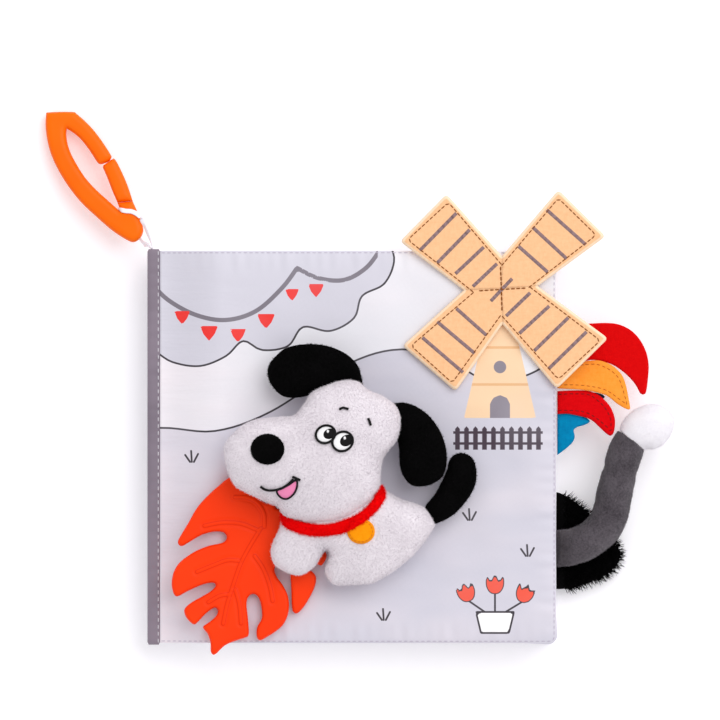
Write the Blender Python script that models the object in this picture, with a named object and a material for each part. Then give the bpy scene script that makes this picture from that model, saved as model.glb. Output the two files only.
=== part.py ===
# A baby's crinkle cloth book with a clip, a plush dog, a teether, felt sails and tails at the page edges.
# The origin is the middle of the back cover's flat underside. +Z is up through the closed book, +X points
# from the binding to the free edges of the pages, and +Y points to the top of the pages.

from math import asin, atan2, cos, hypot, pi, radians, sin, sqrt

import bmesh
import bpy
from mathutils import Vector

# Book block
book_width = 0.1726
book_height = 0.1664
cover_thickness = 0.0056
leaf_thickness = 0.0046
cloth_thickness = 0.00045
film_thickness = 0.0003
panel_gap = 0.0004
touch_gap = 0.0003
slope_length = 0.026
edge_softness = 0.014
corner_pull = 0.0015
side_draw = 0.0008

# Binding strip at the spine, and the line that every page turns about
binding_width = 0.00535
binding_wall = 0.0008
binding_round = 0.0009
hinge_rise = 0.0001

# Clip on its ribbon, lying on the table beyond the top of the spine
clip_span = 0.072
clip_thickness = 0.0055
clip_edge = 0.0009
clip_floor_gap = 0.0002
ribbon_width = 0.0045
ribbon_thickness = 0.0012
ribbon_gap = 0.0005
loop_wall = 0.0008
loop_width = 0.0024

# Plush dog on the front cover
dog_span = 0.100
collar_width = 0.0044
collar_depth = 0.0034
tag_radius = 0.0055
tag_thickness = 0.0022
nose_radius = 0.0063
nose_height = 0.0034
squeaker_radius = 0.0080
squeaker_height = 0.0062
pocket_overrun = 0.004

# Leaf-shaped teether tied under the dog's chin
teether_width = 0.0655
teether_height = 0.0762
teether_thickness = 0.0045
teether_edge = 0.0008
eye_radius = 0.0023
eye_rim = 0.0028
tie_width = 0.0030
tie_thickness = 0.0008

# Felt sails
sail_thickness = 0.0024
sail_edge = 0.0004
hub_apothem = 0.0105
blade_reach = 0.0455
blade_tip_half = 0.0144
blade_corner = 0.0025

# Tails at the right-hand edges of the leaves
felt_thickness = 0.0012
flap_gap = 0.0005
red_feather_length = 0.0382
orange_feather_length = 0.0300
lower_feather_length = 0.0241
navy_feather_length = 0.0200
teal_feather_length = 0.0143
cat_span = 0.060
furry_span = 0.030

# Places on the book, as shares of its width and height, of the binding or of the dog's span
dog_place_share = (-0.0058, -0.0457)
sail_place_share = (0.3615, 0.3960)
teether_place_share = (-0.349, -0.136)
rooster_height_share = 0.2194
cat_height_share = -0.2572
furry_height_share = -0.2374
clip_root_share = 0.318

# Counts of the faceted forms
head_rings = 18
head_sides = 18
limb_rings = 12
limb_sides = 12
round_sides = 20
eye_sides = 12
corner_steps = 3

# Turns, in degrees
sail_turn = 1.5
tie_turn = 40.0
clip_heading = 122.5
loop_heading = 111.0

# Shares of a span or a length, chosen by hand for each shape
slope_line_shares = (0.0, 0.25, 0.5, 0.75, 1.0)
edge_line_shares = (1.0, 0.5, 0.2, 0.0)
pull_shares = (0.0, 0.3, 1.0)

# Rows of x, y, z, half width and half height, as shares of the dog's span
head_shares = (
    (-0.530, 0.040, 0.170, 0.035, 0.030),
    (-0.505, 0.040, 0.170, 0.100, 0.060),
    (-0.450, 0.030, 0.170, 0.147, 0.085),
    (-0.370, 0.030, 0.170, 0.168, 0.100),
    (-0.250, 0.000, 0.172, 0.206, 0.110),
    (-0.126, 0.034, 0.175, 0.277, 0.122),
    (0.000, 0.063, 0.175, 0.294, 0.125),
    (0.105, 0.084, 0.172, 0.235, 0.110),
    (0.168, 0.130, 0.170, 0.150, 0.080),
    (0.206, 0.160, 0.170, 0.060, 0.030),
)
body_shares = (
    (-0.294, -0.240, 0.150, 0.034, 0.030),
    (-0.260, -0.240, 0.150, 0.071, 0.055),
    (-0.210, -0.240, 0.150, 0.100, 0.075),
    (-0.126, -0.240, 0.148, 0.118, 0.085),
    (0.000, -0.252, 0.115, 0.147, 0.100),
    (0.126, -0.269, 0.101, 0.172, 0.100),
    (0.210, -0.277, 0.094, 0.143, 0.090),
    (0.286, -0.273, 0.086, 0.105, 0.075),
    (0.336, -0.248, 0.080, 0.055, 0.050),
    (0.357, -0.240, 0.080, 0.020, 0.020),
)
front_leg_shares = (
    (-0.195, -0.190, 0.140, 0.080, 0.050),
    (-0.210, -0.275, 0.135, 0.095, 0.062),
    (-0.222, -0.335, 0.130, 0.108, 0.066),
    (-0.231, -0.400, 0.125, 0.097, 0.062),
    (-0.227, -0.440, 0.122, 0.063, 0.045),
    (-0.227, -0.462, 0.120, 0.025, 0.020),
)
hind_leg_shares = (
    (-0.105, -0.424, 0.092, 0.042, 0.035),
    (-0.070, -0.424, 0.092, 0.075, 0.068),
    (0.000, -0.420, 0.090, 0.085, 0.085),
    (0.092, -0.416, 0.090, 0.085, 0.085),
    (0.168, -0.400, 0.090, 0.065, 0.065),
    (0.218, -0.388, 0.090, 0.028, 0.028),
)
left_ear_shares = (
    (-0.346, 0.387, 0.055, 0.034, 0.015),
    (-0.315, 0.390, 0.060, 0.080, 0.030),
    (-0.252, 0.391, 0.070, 0.110, 0.035),
    (-0.180, 0.403, 0.090, 0.105, 0.036),
    (-0.105, 0.414, 0.120, 0.086, 0.036),
    (-0.034, 0.412, 0.150, 0.061, 0.034),
    (0.017, 0.398, 0.165, 0.040, 0.028),
    (0.046, 0.382, 0.170, 0.015, 0.012),
)
right_ear_shares = (
    (0.231, 0.260, 0.170, 0.030, 0.012),
    (0.248, 0.227, 0.165, 0.055, 0.030),
    (0.281, 0.168, 0.150, 0.071, 0.035),
    (0.300, 0.092, 0.120, 0.092, 0.036),
    (0.303, 0.021, 0.100, 0.094, 0.036),
    (0.302, -0.042, 0.085, 0.082, 0.033),
    (0.305, -0.080, 0.075, 0.050, 0.025),
    (0.308, -0.097, 0.070, 0.020, 0.012),
)
dog_tail_shares = (
    (0.330, -0.216, 0.080, 0.038, 0.030),
    (0.366, -0.186, 0.080, 0.055, 0.045),
    (0.416, -0.142, 0.080, 0.064, 0.050),
    (0.455, -0.086, 0.080, 0.066, 0.050),
    (0.475, -0.030, 0.080, 0.062, 0.048),
    (0.478, 0.017, 0.080, 0.045, 0.038),
    (0.477, 0.044, 0.080, 0.016, 0.015),
)
collar_shares = (
    (-0.283, -0.229),
    (-0.250, -0.254),
    (-0.189, -0.273),
    (-0.118, -0.280),
    (-0.042, -0.274),
    (0.025, -0.250),
    (0.080, -0.208),
    (0.118, -0.158),
    (0.139, -0.112),
)
left_ear_root_share = (-0.030, 0.345, 0.207)
right_ear_root_share = (0.192, 0.168, 0.207)
dog_tail_root_share = (0.333, -0.210, 0.132)
nose_share = (-0.349, 0.071, 0.262)
tag_share = (0.046, -0.277, 0.226)
squeaker_share = (0.100, -0.270, 0.058)

# Outline of the teether from its box's lower left corner, x by its width and y by its height
teether_outline_shares = (
    (0.37, 0.98), (0.20, 0.86), (0.09, 0.71), (0.04, 0.60), (0.10, 0.62), (0.24, 0.675),
    (0.32, 0.68), (0.355, 0.645), (0.32, 0.61), (0.195, 0.595), (0.08, 0.54), (0.02, 0.49),
    (0.0, 0.42), (0.02, 0.325), (0.14, 0.36), (0.26, 0.395), (0.285, 0.375), (0.26, 0.35),
    (0.17, 0.31), (0.09, 0.27), (0.08, 0.235), (0.13, 0.155), (0.195, 0.22), (0.275, 0.255),
    (0.295, 0.235), (0.27, 0.205), (0.195, 0.14), (0.245, 0.07), (0.265, 0.0), (0.37, 0.07),
    (0.50, 0.105), (0.48, 0.175), (0.47, 0.27), (0.495, 0.325), (0.535, 0.335), (0.575, 0.29),
    (0.59, 0.235), (0.55, 0.13), (0.555, 0.08), (0.735, 0.195), (0.755, 0.28), (0.69, 0.385),
    (0.71, 0.50), (0.755, 0.49), (0.765, 0.40), (0.775, 0.25), (0.80, 0.225), (0.87, 0.315),
    (0.925, 0.42), (0.94, 0.50), (0.985, 0.575), (0.955, 0.685), (0.845, 0.775), (0.745, 0.79),
    (0.57, 0.90), (0.555, 0.98), (0.465, 1.0),
)
teether_corner_share = (0.613, 0.868)

# Outlines of the clip from its ribbon's root, by the clip's span
clip_outer_shares = (
    (-0.239, 0.530), (-0.281, 0.599), (-0.334, 0.676), (-0.394, 0.736), (-0.447, 0.784),
    (-0.623, 0.780), (-0.623, 0.694), (-0.596, 0.599), (-0.543, 0.468), (-0.466, 0.342),
    (-0.370, 0.242), (-0.263, 0.146), (-0.167, 0.075), (-0.114, 0.036), (-0.079, 0.039),
    (-0.058, 0.081), (-0.058, 0.117), (-0.081, 0.203), (-0.107, 0.270),
)
clip_inner_shares = (
    (-0.200, 0.270), (-0.180, 0.222), (-0.178, 0.192), (-0.196, 0.182), (-0.222, 0.206),
    (-0.270, 0.277), (-0.347, 0.361), (-0.429, 0.462), (-0.477, 0.546), (-0.504, 0.628),
    (-0.501, 0.688), (-0.453, 0.664), (-0.400, 0.611), (-0.345, 0.545), (-0.303, 0.503),
)
gate_shares = (
    (-0.107, 0.275), (-0.126, 0.319), (-0.174, 0.426), (-0.216, 0.513),
    (-0.290, 0.476), (-0.242, 0.360), (-0.200, 0.275),
)
loop_share = (-0.1425, 0.2375)
loop_half_share = 0.050
strap_shares = ((-0.0852, 0.255), (-0.056, 0.165), (-0.037, 0.100), (-0.020, 0.045), (0.0, 0.0))

# Feather outlines from the page edge, by each feather's length, y from the feather's own root
red_feather_shares = (
    (0.0, 0.25), (0.18, 0.34), (0.35, 0.40), (0.54, 0.41), (0.75, 0.36), (0.90, 0.23),
    (0.98, 0.07), (1.0, -0.12), (0.975, -0.33), (0.943, -0.38), (0.90, -0.35), (0.81, -0.21),
    (0.71, -0.10), (0.60, -0.06), (0.44, -0.02), (0.20, -0.12), (0.0, -0.15),
)
orange_feather_shares = (
    (0.0, 0.10), (0.20, 0.17), (0.41, 0.23), (0.54, 0.27), (0.67, 0.235), (0.80, 0.145),
    (0.89, -0.01), (0.95, -0.17), (0.985, -0.37), (0.92, -0.36), (0.80, -0.27),
    (0.64, -0.19), (0.41, -0.135), (0.15, -0.115), (0.0, -0.11),
)
lower_feather_shares = (
    (0.0, 0.20), (0.36, 0.22), (0.66, 0.14), (0.86, -0.03), (0.975, -0.23), (0.985, -0.38),
    (0.89, -0.52), (0.79, -0.46), (0.575, -0.31), (0.36, -0.23), (0.0, -0.20),
)
navy_feather_shares = (
    (0.0, 0.12), (0.50, 0.09), (0.88, 0.02), (1.0, -0.08), (0.88, -0.16), (0.50, -0.17), (0.0, -0.15),
)
teal_feather_shares = (
    (0.0, 0.56), (0.50, 0.57), (0.97, 0.36), (0.80, 0.21), (0.50, 0.12), (0.53, -0.10),
    (0.41, -0.35), (0.0, -0.59),
)
red_root_share = -0.03
orange_root_share = -0.27
lower_root_share = -0.56
navy_root_share = -0.45
teal_root_share = -0.92

# Rows of x, y, z, half width and half height of the stuffed tails, by their own spans
cat_tail_shares = (
    (0.0, 0.0, 0.0, 0.128, 0.018),
    (0.042, 0.0, 0.015, 0.128, 0.060),
    (0.119, -0.004, 0.035, 0.124, 0.100),
    (0.224, 0.014, 0.045, 0.120, 0.115),
    (0.315, 0.077, 0.045, 0.120, 0.115),
    (0.378, 0.189, 0.045, 0.120, 0.115),
    (0.413, 0.343, 0.045, 0.120, 0.115),
    (0.441, 0.483, 0.045, 0.120, 0.115),
    (0.472, 0.630, 0.045, 0.120, 0.115),
    (0.500, 0.722, 0.045, 0.114, 0.110),
    (0.524, 0.765, 0.045, 0.106, 0.100),
)
cat_tip_shares = (
    (0.520, 0.760, 0.045, 0.104, 0.094),
    (0.574, 0.812, 0.045, 0.140, 0.120),
    (0.644, 0.850, 0.045, 0.154, 0.130),
    (0.714, 0.875, 0.045, 0.143, 0.120),
    (0.770, 0.889, 0.045, 0.105, 0.090),
    (0.808, 0.896, 0.045, 0.055, 0.045),
    (0.824, 0.898, 0.045, 0.015, 0.015),
)
furry_shares = (
    (0.0, 0.0, 0.0, 0.690, 0.030),
    (0.070, 0.0, -0.030, 0.700, 0.065),
    (0.240, 0.0, -0.085, 0.680, 0.080),
    (0.450, 0.0, -0.095, 0.600, 0.095),
    (0.630, 0.0, -0.095, 0.460, 0.095),
    (0.770, 0.0, -0.095, 0.300, 0.080),
    (0.855, 0.0, -0.095, 0.140, 0.050),
    (0.890, 0.0, -0.095, 0.040, 0.020),
)

# Colours, roughness of each material
finishes = {
    "cover_cloth": ((0.70, 0.68, 0.74), 0.60),
    "lining_cloth": ((0.84, 0.83, 0.86), 0.70),
    "page_cloth": ((0.88, 0.87, 0.90), 0.65),
    "batting": ((0.93, 0.93, 0.92), 0.95),
    "crinkle_film": ((0.80, 0.84, 0.88), 0.25),
    "binding_cloth": ((0.22, 0.20, 0.22), 0.75),
    "ribbon": ((0.88, 0.87, 0.89), 0.55),
    "clip_plastic": ((1.0, 0.17, 0.0), 0.35),
    "teether_silicone": ((1.0, 0.06, 0.012), 0.45),
    "white_plush": ((0.74, 0.70, 0.72), 0.95),
    "black_plush": ((0.006, 0.006, 0.007), 0.95),
    "collar_fleece": ((0.78, 0.006, 0.010), 0.95),
    "tag_cloth": ((1.0, 0.33, 0.008), 0.85),
    "squeaker_plastic": ((0.85, 0.86, 0.87), 0.40),
    "sail_felt": ((0.97, 0.58, 0.26), 0.90),
    "red_felt": ((0.82, 0.006, 0.010), 0.90),
    "orange_felt": ((1.0, 0.36, 0.065), 0.90),
    "teal_felt": ((0.0, 0.24, 0.45), 0.90),
    "navy_felt": ((0.03, 0.05, 0.10), 0.90),
    "grey_plush": ((0.14, 0.12, 0.13), 0.95),
    "tip_plush": ((0.86, 0.84, 0.86), 0.95),
    "black_fur": ((0.006, 0.006, 0.006), 1.0),
}

# Sizes that follow from those above
seam_thickness = 2 * cloth_thickness + touch_gap
seam_pitch = seam_thickness + touch_gap
panel_names = ("back_cover", "leaf_3", "leaf_2", "leaf_1", "front_cover")
seam_bundle = len(panel_names) * seam_thickness + (len(panel_names) - 1) * touch_gap
stack_height = 2 * cover_thickness + 3 * leaf_thickness + 4 * panel_gap
stack_middle = stack_height / 2
book_left = -book_width / 2
book_right = book_width / 2
book_top = book_height / 2
binding_right = book_left + binding_width
hinge_x = binding_right + touch_gap
hinge_z = stack_middle + seam_bundle / 2 + hinge_rise
cover_face = stack_height
cover_rest = cover_face + touch_gap
page_edge = book_right - side_draw
tail_root_x = page_edge + touch_gap
flap_root_x = page_edge + flap_gap
clip_root_x = book_left + binding_width * clip_root_share
dog_base = Vector((book_width * dog_place_share[0], book_height * dog_place_share[1], cover_rest))
teether_pivot_x = dog_base.x + dog_span * teether_place_share[0]
teether_pivot_y = dog_base.y + dog_span * teether_place_share[1]
sail_x = book_width * sail_place_share[0]
sail_y = book_height * sail_place_share[1]
rooster_y = book_height * rooster_height_share
cat_y = book_height * cat_height_share
furry_y = book_height * furry_height_share


def clear_scene():
    for old in list(bpy.data.objects):
        bpy.data.objects.remove(old)


def finish(name):
    """The Principled material of this name, made when it is first asked for."""
    if name not in bpy.data.materials:
        colour, roughness = finishes[name]
        made = bpy.data.materials.new(name)
        made.use_nodes = True
        shader = made.node_tree.nodes["Principled BSDF"]
        shader.inputs["Base Color"].default_value = (*colour, 1)
        shader.inputs["Roughness"].default_value = roughness
        shader.inputs["Metallic"].default_value = 0
    return bpy.data.materials[name]


def pivot(name, at, parent=None):
    """An empty on a joint's axis. It keeps its place in the world as at, and its parents only move it."""
    empty = bpy.data.objects.new(name, None)
    bpy.context.scene.collection.objects.link(empty)
    empty.empty_display_size = leaf_thickness
    empty.parent = parent
    empty.location = Vector(at) - world_place(parent)
    return empty


def world_place(thing):
    place = Vector((0, 0, 0))
    while thing is not None:
        place += thing.location
        thing = thing.parent
    return place


def solid(name, verts, faces, material, parent, at=(0, 0, 0), cutter=False):
    """A closed mesh object whose own origin lies at this place of the world, under its joint's empty."""
    mesh = bpy.data.meshes.new(name)
    mesh.from_pydata([tuple(v) for v in verts], [], faces)
    shape = bmesh.new()
    shape.from_mesh(mesh)
    bmesh.ops.recalc_face_normals(shape, faces=shape.faces)
    shape.to_mesh(mesh)
    shape.free()
    mesh.materials.append(finish(material))
    made = bpy.data.objects.new(name, mesh)
    bpy.context.scene.collection.objects.link(made)
    made.parent = parent
    made.location = Vector(at) - world_place(parent)
    if cutter:
        made.hide_render = True
        made.display_type = "WIRE"
    return made


def combine(body, other, operation):
    change = body.modifiers.new(other.name, "BOOLEAN")
    change.operation = operation
    change.object = other
    change.solver = "EXACT"


def smooth_step(t):
    t = min(max(t, 0), 1)
    return t * t * (3 - 2 * t)


def pillow_rise(t):
    t = min(max(t, 0), 1)
    return sqrt(1 - (1 - t) ** 2)


def curve_through(rows, count):
    """Rows read at even steps along a smooth curve through the given rows."""
    read = []
    for step in range(count):
        place = step * (len(rows) - 1) / (count - 1)
        first = min(int(place), len(rows) - 2)
        t = place - first
        p0, p1 = rows[max(first - 1, 0)], rows[first]
        p2, p3 = rows[first + 1], rows[min(first + 2, len(rows) - 1)]
        row = []
        for a, b, c, d in zip(p0, p1, p2, p3):
            bend = (2 * a - 5 * b + 4 * c - d) * t * t + (3 * b - a - 3 * c + d) * t ** 3
            row.append(b + ((c - a) * t + bend) / 2)
        read.append(row)
    return read


def scaled(rows, size):
    return [[value * size for value in row] for row in rows]


def stuffed(rows, rings, sides, across=None, grow=0.0):
    """A stuffed form: ellipses along a path, each row holding x, y, z, half width and half height."""
    places = curve_through(rows, rings)
    verts = []
    for index, row in enumerate(places):
        before = places[max(index - 1, 0)]
        after = places[min(index + 1, rings - 1)]
        heading = Vector((after[0] - before[0], after[1] - before[1])).normalized()
        side = Vector(across) if across else Vector((-heading.y, heading.x))
        outward = {0: -grow, rings - 1: grow}.get(index, 0.0)
        middle = Vector(row[:3]) + Vector((heading.x, heading.y, 0)) * outward
        for turn in range(sides):
            angle = 2 * pi * turn / sides
            reach = (row[3] + grow) * cos(angle)
            lift = (row[4] + grow) * sin(angle)
            verts.append(middle + Vector((side.x * reach, side.y * reach, lift)))
    return verts, tube_faces(rings, sides)


def tube_faces(rings, sides):
    faces = []
    for ring in range(rings - 1):
        for turn in range(sides):
            following = (turn + 1) % sides
            low, high = ring * sides, (ring + 1) * sides
            faces.append((low + turn, low + following, high + following, high + turn))
    faces.append(tuple(reversed(range(sides))))
    faces.append(tuple(range((rings - 1) * sides, rings * sides)))
    return faces


def signed_area(points):
    following = points[1:] + points[:1]
    return sum(a[0] * b[1] - b[0] * a[1] for a, b in zip(points, following)) / 2


def inset(points, amount):
    """The outline, which runs anticlockwise, moved inwards by this amount."""
    moved = []
    for index, point in enumerate(points):
        before, after = points[index - 1], points[(index + 1) % len(points)]
        into = Vector((point[0] - before[0], point[1] - before[1])).normalized()
        out = Vector((after[0] - point[0], after[1] - point[1])).normalized()
        normal = Vector((-into.y - out.y, into.x + out.x)).normalized()
        square = max(normal.dot(Vector((-out.y, out.x))), 0.75)
        moved.append((point[0] + normal.x * amount / square, point[1] + normal.y * amount / square))
    return moved


def plate(outline, low, thickness, edge):
    """A flat piece of this outline with a small chamfer all round, from the height low upwards."""
    points = [tuple(p) for p in outline]
    if signed_area(points) < 0:
        points.reverse()
    small = inset(points, edge)
    layers = ((small, low), (points, low + edge), (points, low + thickness - edge), (small, low + thickness))
    verts = [(x, y, z) for ring, z in layers for x, y in ring]
    return verts, tube_faces(len(layers), len(points))


def ring_plate(outer, inner, low, thickness):
    """A flat piece with one hole, both outlines with as many points."""
    count = len(outer)
    verts = [(x, y, z) for z in (low, low + thickness) for ring in (outer, inner) for x, y in ring]
    faces = []
    for turn in range(count):
        following = (turn + 1) % count
        corners = (turn, following)
        for start, end in ((0, count), (count, 3 * count), (3 * count, 2 * count), (2 * count, 0)):
            faces.append((start + corners[0], start + corners[1], end + corners[1], end + corners[0]))
    return verts, faces


def rounded(points, radius, corners):
    """The outline with an arc of this radius at each of the numbered corners."""
    outline = []
    for index, point in enumerate(points):
        if index not in corners:
            outline.append(tuple(point))
            continue
        here = Vector(point)
        before = (Vector(points[index - 1]) - here).normalized()
        after = (Vector(points[(index + 1) % len(points)]) - here).normalized()
        half = before.angle(after) / 2
        centre = here + (before + after).normalized() * radius / sin(half)
        start = here + before * radius / (sin(half) / cos(half)) - centre
        end = here + after * radius / (sin(half) / cos(half)) - centre
        sweep = atan2(start.x * end.y - start.y * end.x, start.dot(end))
        for step in range(corner_steps + 1):
            angle = sweep * step / corner_steps
            turned = Vector((start.x * cos(angle) - start.y * sin(angle),
                             start.x * sin(angle) + start.y * cos(angle)))
            outline.append(tuple(centre + turned))
    return outline


def circle(radius, sides, centre=(0, 0)):
    angles = [2 * pi * turn / sides for turn in range(sides)]
    return [(centre[0] + radius * cos(a), centre[1] + radius * sin(a)) for a in angles]


# Panels: the covers and leaves, each two cloths sewn together over batting and a crinkle film


def panel_places():
    """For each panel its half thickness, its height in the stack and its height at the binding."""
    places = {}
    base = 0.0
    seam = stack_middle - seam_bundle / 2 + seam_thickness / 2
    for name in panel_names:
        thickness = cover_thickness if name.endswith("cover") else leaf_thickness
        places[name] = (thickness / 2, base + thickness / 2, seam)
        base += thickness + panel_gap
        seam += seam_pitch
    return places


def grid_lines():
    from_hinge = [hinge_x + slope_length * share for share in slope_line_shares]
    to_edge = [book_right - edge_softness * share for share in edge_line_shares]
    from_foot = [-book_top + edge_softness * share for share in reversed(edge_line_shares)]
    to_head = [-y for y in reversed(from_foot)]
    return from_hinge + to_edge, from_foot + to_head


def pulled(x, y):
    """A grid point with the corners rounded off and the free sides drawn in between them."""
    from_right = book_right - x
    from_end = book_top - abs(y)
    outward = 1 if y > 0 else -1
    near_right = max(1 - from_right / edge_softness, 0) ** 2
    near_end = max(1 - from_end / edge_softness, 0) ** 2
    from_corner_x = min(from_right / edge_softness, 1)
    from_corner_y = min(from_end / edge_softness, 1)
    corner = corner_pull if from_right < touch_gap and from_end < touch_gap else 0
    return (x - corner - side_draw * near_right * from_corner_y,
            y - outward * (corner + side_draw * near_end * from_corner_x))


def panel_layer(place, top_offset, bottom_offset, xs, ys):
    """A closed sheet between two depths of the panel. An offset gives a height from the panel's own
    half thickness there."""
    full, far, seam = place
    verts = []
    for offset in (top_offset, bottom_offset):
        for x in xs:
            for y in ys:
                slope = smooth_step((x - hinge_x) / slope_length)
                crown = pillow_rise((book_right - x) / edge_softness)
                crown *= pillow_rise((book_top - abs(y)) / edge_softness)
                middle = seam + (far - seam) * slope
                half = seam_thickness / 2 + (full - seam_thickness / 2) * slope * crown
                px, py = pulled(x, y)
                verts.append((px, py, middle + offset(half)))
    return verts, sheet_faces(len(xs), len(ys))


def sheet_faces(columns, rows):
    faces = []
    under = columns * rows
    for i in range(columns - 1):
        for j in range(rows - 1):
            a, b = i * rows + j, (i + 1) * rows + j
            faces.append((a, b, b + 1, a + 1))
            faces.append((under + a, under + a + 1, under + b + 1, under + b))
    rim = [j for j in range(rows)]
    rim += [i * rows + rows - 1 for i in range(1, columns)]
    rim += [(columns - 1) * rows + j for j in range(rows - 2, -1, -1)]
    rim += [i * rows for i in range(columns - 2, 0, -1)]
    for here, following in zip(rim, rim[1:] + rim[:1]):
        faces.append((here, following, under + following, under + here))
    return faces


def make_panel(name, place, parent):
    xs, ys = grid_lines()
    inner_xs = xs[len(slope_line_shares) - 1:-2]
    inner_ys = ys[2:-2]
    cloth = cloth_thickness
    film_top = cloth + touch_gap
    batting_top = film_top + film_thickness + touch_gap
    upper, lower = ("_lining", "_cloth") if name == "back_cover" else ("_cloth", "_lining")
    if name.startswith("leaf"):
        upper, lower = "_front_cloth", "_back_cloth"
    outer_finish = "page_cloth" if name.startswith("leaf") else "cover_cloth"
    inner_finish = "page_cloth" if name.startswith("leaf") else "lining_cloth"
    up_finish, down_finish = (inner_finish, outer_finish) if name == "back_cover" else (outer_finish, inner_finish)
    layers = (
        (upper, up_finish, lambda h: h, lambda h: h - cloth, xs, ys),
        (lower, down_finish, lambda h: cloth - h, lambda h: -h, xs, ys),
        ("_crinkle_film", "crinkle_film", lambda h: h - film_top,
         lambda h: h - film_top - film_thickness, inner_xs, inner_ys),
        ("_batting", "batting", lambda h: h - batting_top, lambda h: cloth + touch_gap - h, inner_xs, inner_ys),
    )
    for ending, material, top, bottom, columns, rows in layers:
        verts, faces = panel_layer(place, top, bottom, columns, rows)
        at = (hinge_x, 0, hinge_z)
        solid(name + ending, [Vector(v) - Vector(at) for v in verts], faces, material, parent, at)


def make_binding():
    """A folded strip round the sewn edges of all the panels, and those edges as one bundle inside it."""
    low, high = stack_middle - seam_bundle / 2, stack_middle + seam_bundle / 2
    inner_low, inner_high = low + binding_wall, high - binding_wall
    inner_left = book_left + binding_wall
    profile = [
        (binding_right, low), (binding_right, inner_low), (inner_left, inner_low), (inner_left, inner_high),
        (binding_right, inner_high), (binding_right, high), (book_left, high), (book_left, low),
    ]
    profile = rounded(profile, binding_round, (6, 7))
    long_solid("spine_binding", profile, "binding_cloth")
    core = [
        (binding_right, inner_low + touch_gap), (binding_right, inner_high - touch_gap),
        (inner_left + touch_gap, inner_high - touch_gap), (inner_left + touch_gap, inner_low + touch_gap),
    ]
    long_solid("spine_seam_bundle", core, "page_cloth")


def long_solid(name, profile, material):
    """A profile in X and Z run along the whole height of the pages."""
    verts = [(x, y, z) for y in (-book_top, book_top) for x, z in profile]
    solid(name, verts, tube_faces(2, len(profile)), material, None)


# Plush dog


def dog_solid(name, shares, material, parent, across=None, rings=limb_rings, sides=limb_sides, cutter=False,
              grow=0.0):
    verts, faces = stuffed(scaled(shares, dog_span), rings, sides, across, grow)
    return solid(name, verts, faces, material, parent, dog_base, cutter)


def dog_point(share):
    return dog_base + Vector(share) * dog_span


def body_top(x, y):
    """Height of the body's upper surface above the dog's base, at a place given in metres from it."""
    rows = curve_through(scaled(body_shares, dog_span), head_rings * 4)
    row = min(rows, key=lambda r: abs(r[0] - x))
    across = min(abs(y - row[1]) / row[3], 0.97)
    return row[2] + row[4] * sqrt(1 - across ** 2)


def make_collar(parent, name, grow, cutter):
    """A strip laid over the neck along the chin, thick enough to be cut to the body under it."""
    path = curve_through(scaled(collar_shares, dog_span), head_rings)
    half_width, half_depth = collar_width / 2 + grow, collar_depth / 2 + grow
    verts = []
    for index, (x, y) in enumerate(path):
        before, after = path[max(index - 1, 0)], path[min(index + 1, len(path) - 1)]
        heading = Vector((after[0] - before[0], after[1] - before[1])).normalized()
        outward = {0: -grow, len(path) - 1: grow}.get(index, 0.0)
        x, y = x + heading.x * outward, y + heading.y * outward
        height = body_top(x, y)
        for wide, deep in ((-1, -1), (1, -1), (1, 1), (-1, 1)):
            verts.append((x - heading.y * half_width * wide, y + heading.x * half_width * wide,
                          height + half_depth * deep))
    return solid(name, verts, tube_faces(len(path), 4), "collar_fleece", parent, dog_base, cutter)


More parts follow.
